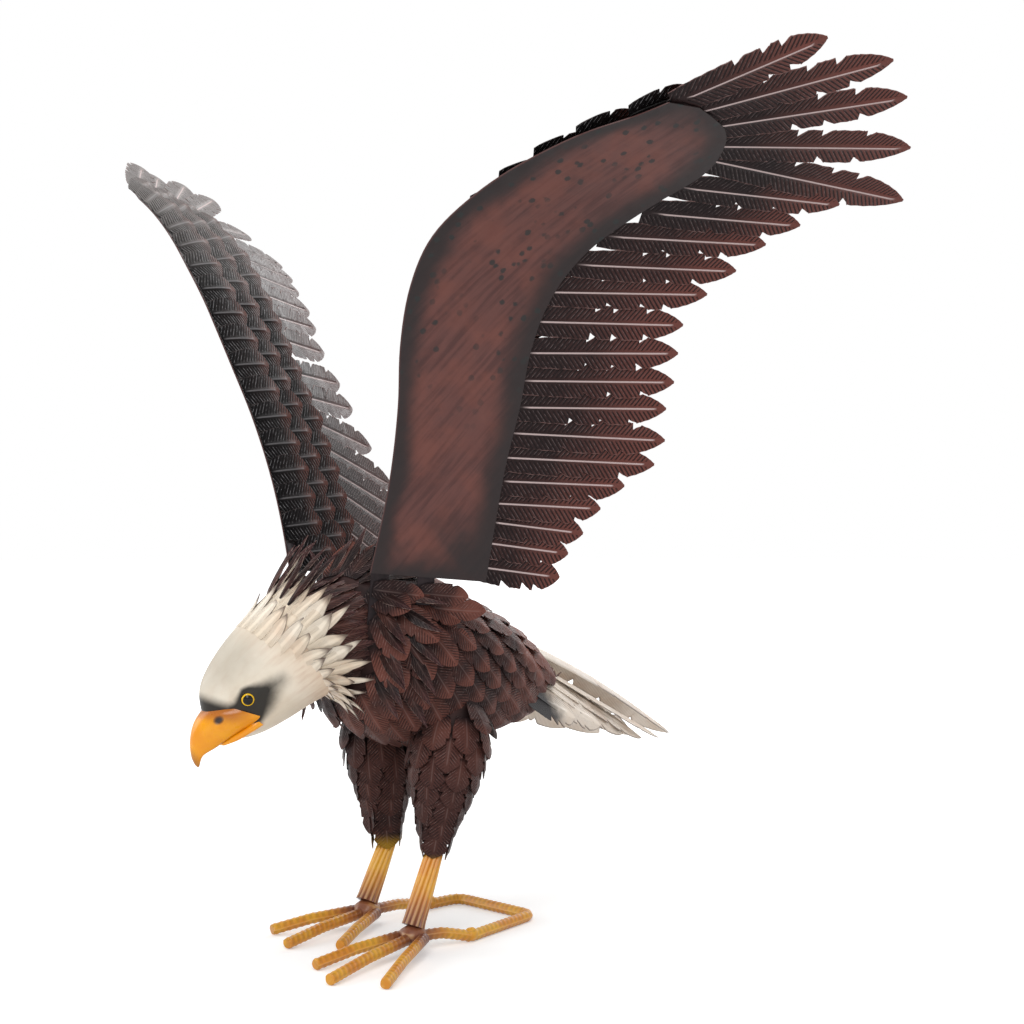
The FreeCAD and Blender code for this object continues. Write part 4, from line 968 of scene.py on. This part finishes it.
# Black gloss enamel with a thin yellow painted ring
def makeEyePaint():
    inner, outer = eyeShape["ringInner"] / 10, eyeShape["ringOuter"] / 10
    paint, shader, wire = newPaint("eyeEnamel", {
        "Specular IOR Level": 0.12, "Coat Weight": 0.3, "Coat Roughness": 0.04},
        {"inner": (inner - 0.01, inner + 0.02), "outer": (outer - 0.02, outer + 0.01, 1.0, 0.0),
         "gloss": (0.3, 0.7, 0.10, 0.16)}, {"faint": (3.3333, 2.0)})
    radius = readTones(wire)[0]
    faint = wire("faint", wire("place"))
    base = lay(wire, eyeShape["black"], (faint, eyeShape["faint"]),
               (wire("inner", radius), wire("outer", radius), eyeShape["ring"]))
    finish(shader, base, wire("bump", faint, 0.02 * mm, 0.2), wire("gloss", faint))
    return paint


eyePaint = makeEyePaint()
buildEye(1, "Left")
buildEye(-1, "Right")


def fromHead(point):
    away = point - headPoint(20.0, 27.0, 0.0)
    return away - headAhead * away.dot(headAhead)


buildFeathers("collar", ["collar_feathers"], "collar", fromHead, 17,
              ((0.0, 0.0, 0.0, 1.45), (-0.55, 0.4, 1.4, 1.1), (0.25, 1.0, 0.5, 0.8)), 0.3)


# Dark strips that fan up over the collar's top
def crownSpots():
    for base, tip, normal, width in leafPlaces("collar_feathers", fromHead):
        if normal.z > 0.5:
            along = tip - base
            for shift, rise, share in ((0.30, 0.30, 0.5), (0.55, 0.12, 0.45)):
                start = base + along * shift + normal * mm
                yield start, start + along * 1.2 + normal * (along.length * rise), normal, width * share


buildFeathers("hackles", ["hackle_feathers"], "hackle", fromBody, 11, ((0.0, 0.0, 0.0, 1.15),), 0.15,
              crownSpots())
print("head made")


# Legs and feet

barShape = {"radius": 4.75, "rib": 0.55, "pitch": 6.4, "step": 1.15, "sides": 24, "bend": 14.0, "slant": 0.22,
            "longRib": 0.25, "endDrop": 0.5, "endRun": 0.8}
legShape = {
    "left": {"ankle": (58.0, -79.0), "top": 84.0, "tips": ((38.6, -178.0), (83.7, -204.0), (127.0, -183.0)),
             "joint": (69.0, -15.0)},
    "right": {"ankle": (-45.0, -34.0), "top": 74.0, "tips": ((-84.0, -117.0), (-34.0, -144.0), (6.6, -118.0)),
              "joint": (-49.0, 56.0)},
    "corners": ((55.5, 84.0), (-46.0, 94.0)), "lean": 27.0, "foot": 23.3, "footRadius": 10.2,
    "topRadius": 8.4, "flutes": 12, "fluteDepth": 1.3, "twist": 26.0, "level": 5.2, "root": 14.0,
    "rootStep": 11.5, "knee": 11.0, "hump": 13.0, "rows": 30, "columns": 96, "flare": 0.5, "flareRun": 0.08,
    "kneeShare": 0.55, "humpShare": 0.45, "hindKnee": 0.725, "hindKneeRise": 0.55, "hindStart": 5.5,
    "hindEnd": 1.5,
}
# Height of its middle, half sizes, seed and share of the way from the ankle
welds = {"ankle": (15.5, (13.0, 13.0, 10.5), 3, 0.12), "loop": (6.9, (6.6, 6.6, 6.6), 5, 0.85)}
weldWaves = {"count": 7, "rate": (3, 9), "start": (0, 6), "size": 0.93, "swell": 0.10}
# The pale ochre of the ribs' tops is a painted highlight, and the dark brown of the grooves painted shade
legLook = {"yellow": "#E0A834", "orange": "#D28728", "brown": "#AC6830", "ankle": "#6F4034",
           "worn": "#EDC084", "groove": "#5A3418", "soft": 0.25, "grain": (0.25, 0.5)}
# Shares of the way from the ankle and of a rib's height
legFades = {
    "yellow": (0.35, 0.65), "brown": (0.18, 0.54, 0.85, 0.0), "ankle": (0.02, 0.34, 1.0, 0.0),
    "worn": (0.55, 1.0, 0.0, 0.35), "groove": (0.0, 0.25, 0.2, 0.0), "gloss": (0.3, 0.7, 0.34, 0.5),
}


# Evenly stepped points along a bent bar's centre line, with an arc at each inner point
def barPath(points):
    line = [points[0]]
    for before, corner, after in zip(points, points[1:], points[2:]):
        back, ahead = (before - corner).normalized(), (after - corner).normalized()
        shorter = min((before - corner).length, (after - corner).length)
        reach = min(barShape["bend"] / math.tan(back.angle(ahead) / 2), shorter * 0.45)
        first, last = corner + back * reach, corner + ahead * reach
        for t in np.linspace(0, 1, 9).tolist():
            line.append(first * (1 - t) ** 2 + corner * 2 * t * (1 - t) + last * t * t)
    line.append(points[-1])
    steps = [(b - a).length for a, b in zip(line, line[1:])]
    runs = np.concatenate(([0.0], np.cumsum(steps)))
    wanted = np.linspace(0, runs[-1], max(3, int(runs[-1] / barShape["step"])))
    ways = [np.interp(wanted, runs, [point[axis] for point in line]) for axis in range(3)]
    return [Vector(point) for point in zip(*ways)], float(runs[-1])


# Deformed bar with slanting rolled ribs and two long ones
def buildBar(name, points, node, startShare, endShare, roll=0.0):
    path, length = barPath([Vector(q) for q in points])
    shape = newShape()
    rows, columns = len(path) - 1, barShape["sides"]

    def pointAt(row, column):
        ahead = (path[min(row + 1, rows)] - path[max(row - 1, 0)]).normalized()
        side = ahead.cross(Vector((0, 0, 1))).normalized()
        top = side.cross(ahead)
        run = length * row / rows
        real = 2 * math.pi * column / columns
        turned = real + roll
        c, d = math.cos(turned), math.sin(turned)
        slant = run / barShape["pitch"] + barShape["slant"] * math.copysign(d, d * c)
        wave = max(0.0, math.cos(2 * math.pi * slant)) ** 1.5 * abs(c) ** 0.5
        ribbed = max(wave, 1 - (abs(c) / barShape["longRib"]) ** 2, 0.0)
        end = max(0.0, 1 - min(run, length - run) / barShape["endRun"])
        radius = barShape["radius"] + barShape["rib"] * ribbed - barShape["endDrop"] * end
        spot = path[row] + (side * math.sin(real) + top * math.cos(real)) * radius
        share = startShare + (endShare - startShare) * run / length
        return spot * mm, (ribbed, share, 0.0, 1.0), (run, real, 0.0)

    addSkin(shape, rows, columns, pointAt)
    makePiece(name, shape, legPaint, [node], "leg_paint", 50.0)


# Yellow-ochre enamel over rolled steel, browner towards the ankles, with paler rib tops as painted highlights
# and darker grooves as painted shade
def makeLegPaint():
    look = legLook
    paint, shader, wire = newPaint("legOchre", {
        "Specular IOR Level": 0.35, "Coat Weight": 0.15, "Coat Roughness": 0.2},
        legFades, {"soft": (22.222, 4.0), "grain": (2.381, 3.0)})
    spot = wire("place")
    ribbed, share = readTones(wire)[:2]
    soft = wire("soft", spot)
    level = wire("add", share, wire("multiply", wire("subtract", soft, 0.5), look["soft"]))
    # Rib tops paler as painted highlights, grooves darker as painted shade
    ways = {"yellow": soft, "brown": level, "ankle": level, "worn": ribbed, "groove": ribbed}
    base = lay(wire, look["orange"], *[(wire(name, way), look[name]) for name, way in ways.items()])
    depth, strength = look["grain"]
    finish(shader, base, wire("bump", wire("grain", spot), depth * mm, strength), wire("gloss", soft))
    return paint


legPaint = makeLegPaint()


def buildShank(side):
    values = legShape[side]
    foot = Vector((*values["ankle"], legShape["foot"]))
    head = Vector((values["ankle"][0], values["ankle"][1] + legShape["lean"], values["top"]))
    axis = (head - foot).normalized()
    first = axis.cross(Vector((0, 1, 0))).normalized()
    second = axis.cross(first)
    shape = newShape()

    def pointAt(row, column):
        t = row / legShape["rows"]
        angle = 2 * math.pi * column / legShape["columns"]
        wave = abs(math.sin(legShape["flutes"] * angle / 2))
        radius = legShape["footRadius"] + (legShape["topRadius"] - legShape["footRadius"]) * t
        flare = legShape["flare"] * max(0.0, 1 - t / legShape["flareRun"])
        reach = radius - legShape["fluteDepth"] * (1 - wave) + flare * wave
        real = angle + math.radians(legShape["twist"]) * (t - 0.5)
        spot = foot + (head - foot) * t + (first * math.cos(real) + second * math.sin(real)) * reach
        return spot * mm, (wave, 0.06 + 0.78 * t, t, 1.0), (t, real, 0.0)

    addSkin(shape, legShape["rows"], legShape["columns"], pointAt)
    makePiece("shank" + side.title(), shape, legPaint, ["shank_" + side], "leg_paint", 50.0)


# Weld bead: a ball pushed in and out by a few seeded waves
def buildWeld(kind, side, x, y):
    height, radii, seed, share = welds[kind]
    rng = random.Random(seed + legShape[side]["ankle"][0])
    waves = [(Vector([rng.uniform(-1, 1) for axis in range(3)]).normalized(), rng.uniform(*weldWaves["rate"]),
              rng.uniform(*weldWaves["start"])) for k in range(weldWaves["count"])]
    shape = newShape()
    tone = shape.verts.layers.float_color["tone"]
    for vert in bmesh.ops.create_icosphere(shape, subdivisions=5, radius=1.0)["verts"]:
        swell = sum(math.sin(vert.co.dot(way) * rate + start) for way, rate, start in waves) / len(waves)
        # The swell also goes into the tone, so the leg paint puts painted highlights on the bumps and painted
        # shade in the dips
        vert[tone] = (0.5 + swell, share, 0.0, 1.0)
        size = weldWaves["size"] + weldWaves["swell"] * swell
        vert.co = Vector((c + v * r * size for c, v, r in zip((x, y, height), vert.co, radii))) * mm
    makePiece(kind + "Weld" + side.title(), shape, legPaint, [kind + "_weld_" + side], "leg_paint", 80.0)


def buildFeet():
    level = legShape["level"]
    for side in ("left", "right"):
        values = legShape[side]
        x, y = values["ankle"]
        name = side.title()
        tips = values["tips"]
        ahead = Vector((tips[1][0] - x, tips[1][1] - y, 0)).normalized()
        across = Vector((-ahead.y, ahead.x, 0))
        names = ("inner", "middle", "outer") if side == "left" else ("outer", "middle", "inner")
        root = Vector((x, y, legShape["root"]))
        for index, (toe, (tipX, tipY)) in enumerate(zip(names, tips)):
            start, tip = root + across * (legShape["rootStep"] * (index - 1)), Vector((tipX, tipY, level))
            knee = start + (tip - start) * legShape["kneeShare"]
            knee.z = legShape["knee"]
            node = "toe_" + toe + "_" + side
            buildBar(toe + "Toe" + name, (start, knee, tip), node, 0.0, 1.25, 0.5 * index)
        end = Vector((*values["joint"], level))
        away = Vector((end.x - x, end.y - y, 0)).normalized()
        start, end = root + away * legShape["hindStart"], end - away * legShape["hindEnd"]
        hump = start + (end - start) * legShape["humpShare"]
        hump.z = legShape["hump"]
        knee = start + (end - start) * legShape["hindKnee"]
        knee.z = level + (legShape["hump"] - level) * legShape["hindKneeRise"]
        buildBar("hind" + name, (start, hump, knee, end), "hind_bar_" + side, 0.05, 0.80, 0.3)
        buildShank(side)
        buildWeld("ankle", side, x, y)
        buildWeld("loop", side, *values["joint"])
    ends = (legShape["left"]["joint"], *legShape["corners"], legShape["right"]["joint"])
    buildBar("baseLoop", [Vector((*q, level)) for q in ends], "base_loop", 0.75, 0.95)


buildFeet()
print("legs and feet made")


# Pieces that stay as packed

plainLooks = {
    # Dark brown lacquer inside and under the plumage
    "innerLacquer": {"first": "#1F1616", "second": "#362220", "size": 33.33, "rough": 0.45, "metal": 0.1},
    # Bare zinc-grey steel
    "plainSteel": {"first": "#8C8A86", "second": "#A09E99", "size": 12.5, "rough": 0.35, "metal": 1.0},
    # Nearly black lacquered steel of the tabs and rivets
    "tabLacquer": {"first": "#1E1A1B", "second": "#30282A", "size": 16.667, "rough": 0.38, "metal": 0.2},
}
keptNodes = {
    "innerLacquer": ["body_shell_left", "body_shell_right", "thigh_shell_left", "thigh_shell_right",
                     "neck_tube"],
    "plainSteel": ["leg_rod_left", "leg_rod_right"],
    "tabLacquer": ["wing_" + kind + "_" + side for kind in ("tabs", "studs", "nuts")
                   for side in ("left", "right")],
}


def plainPaint(name):
    look = plainLooks[name]
    fades = {"second": (0.35, 0.65), "gloss": (0.3, 0.7, look["rough"], look["rough"] + 0.12)}
    paint, shader, wire = newPaint(name, {"Metallic": look["metal"], "Specular IOR Level": 0.12}, fades,
                                   {"worn": (look["size"], 4.0), "grain": (3.3333, 3.0)})
    spot = wire("place")
    worn = wire("worn", spot)
    base = lay(wire, look["first"], (wire("second", worn), look["second"]))
    finish(shader, base, wire("bump", wire("grain", spot), 0.15 * mm, 0.6), wire("gloss", worn))
    return paint


for name, nodes in keptNodes.items():
    paint = plainPaint(name)
    for node in nodes:
        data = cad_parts[node].data
        if not data.materials:
            data.materials.append(paint)
        for index in range(len(data.materials)):
            data.materials[index] = paint
print("kept pieces painted")
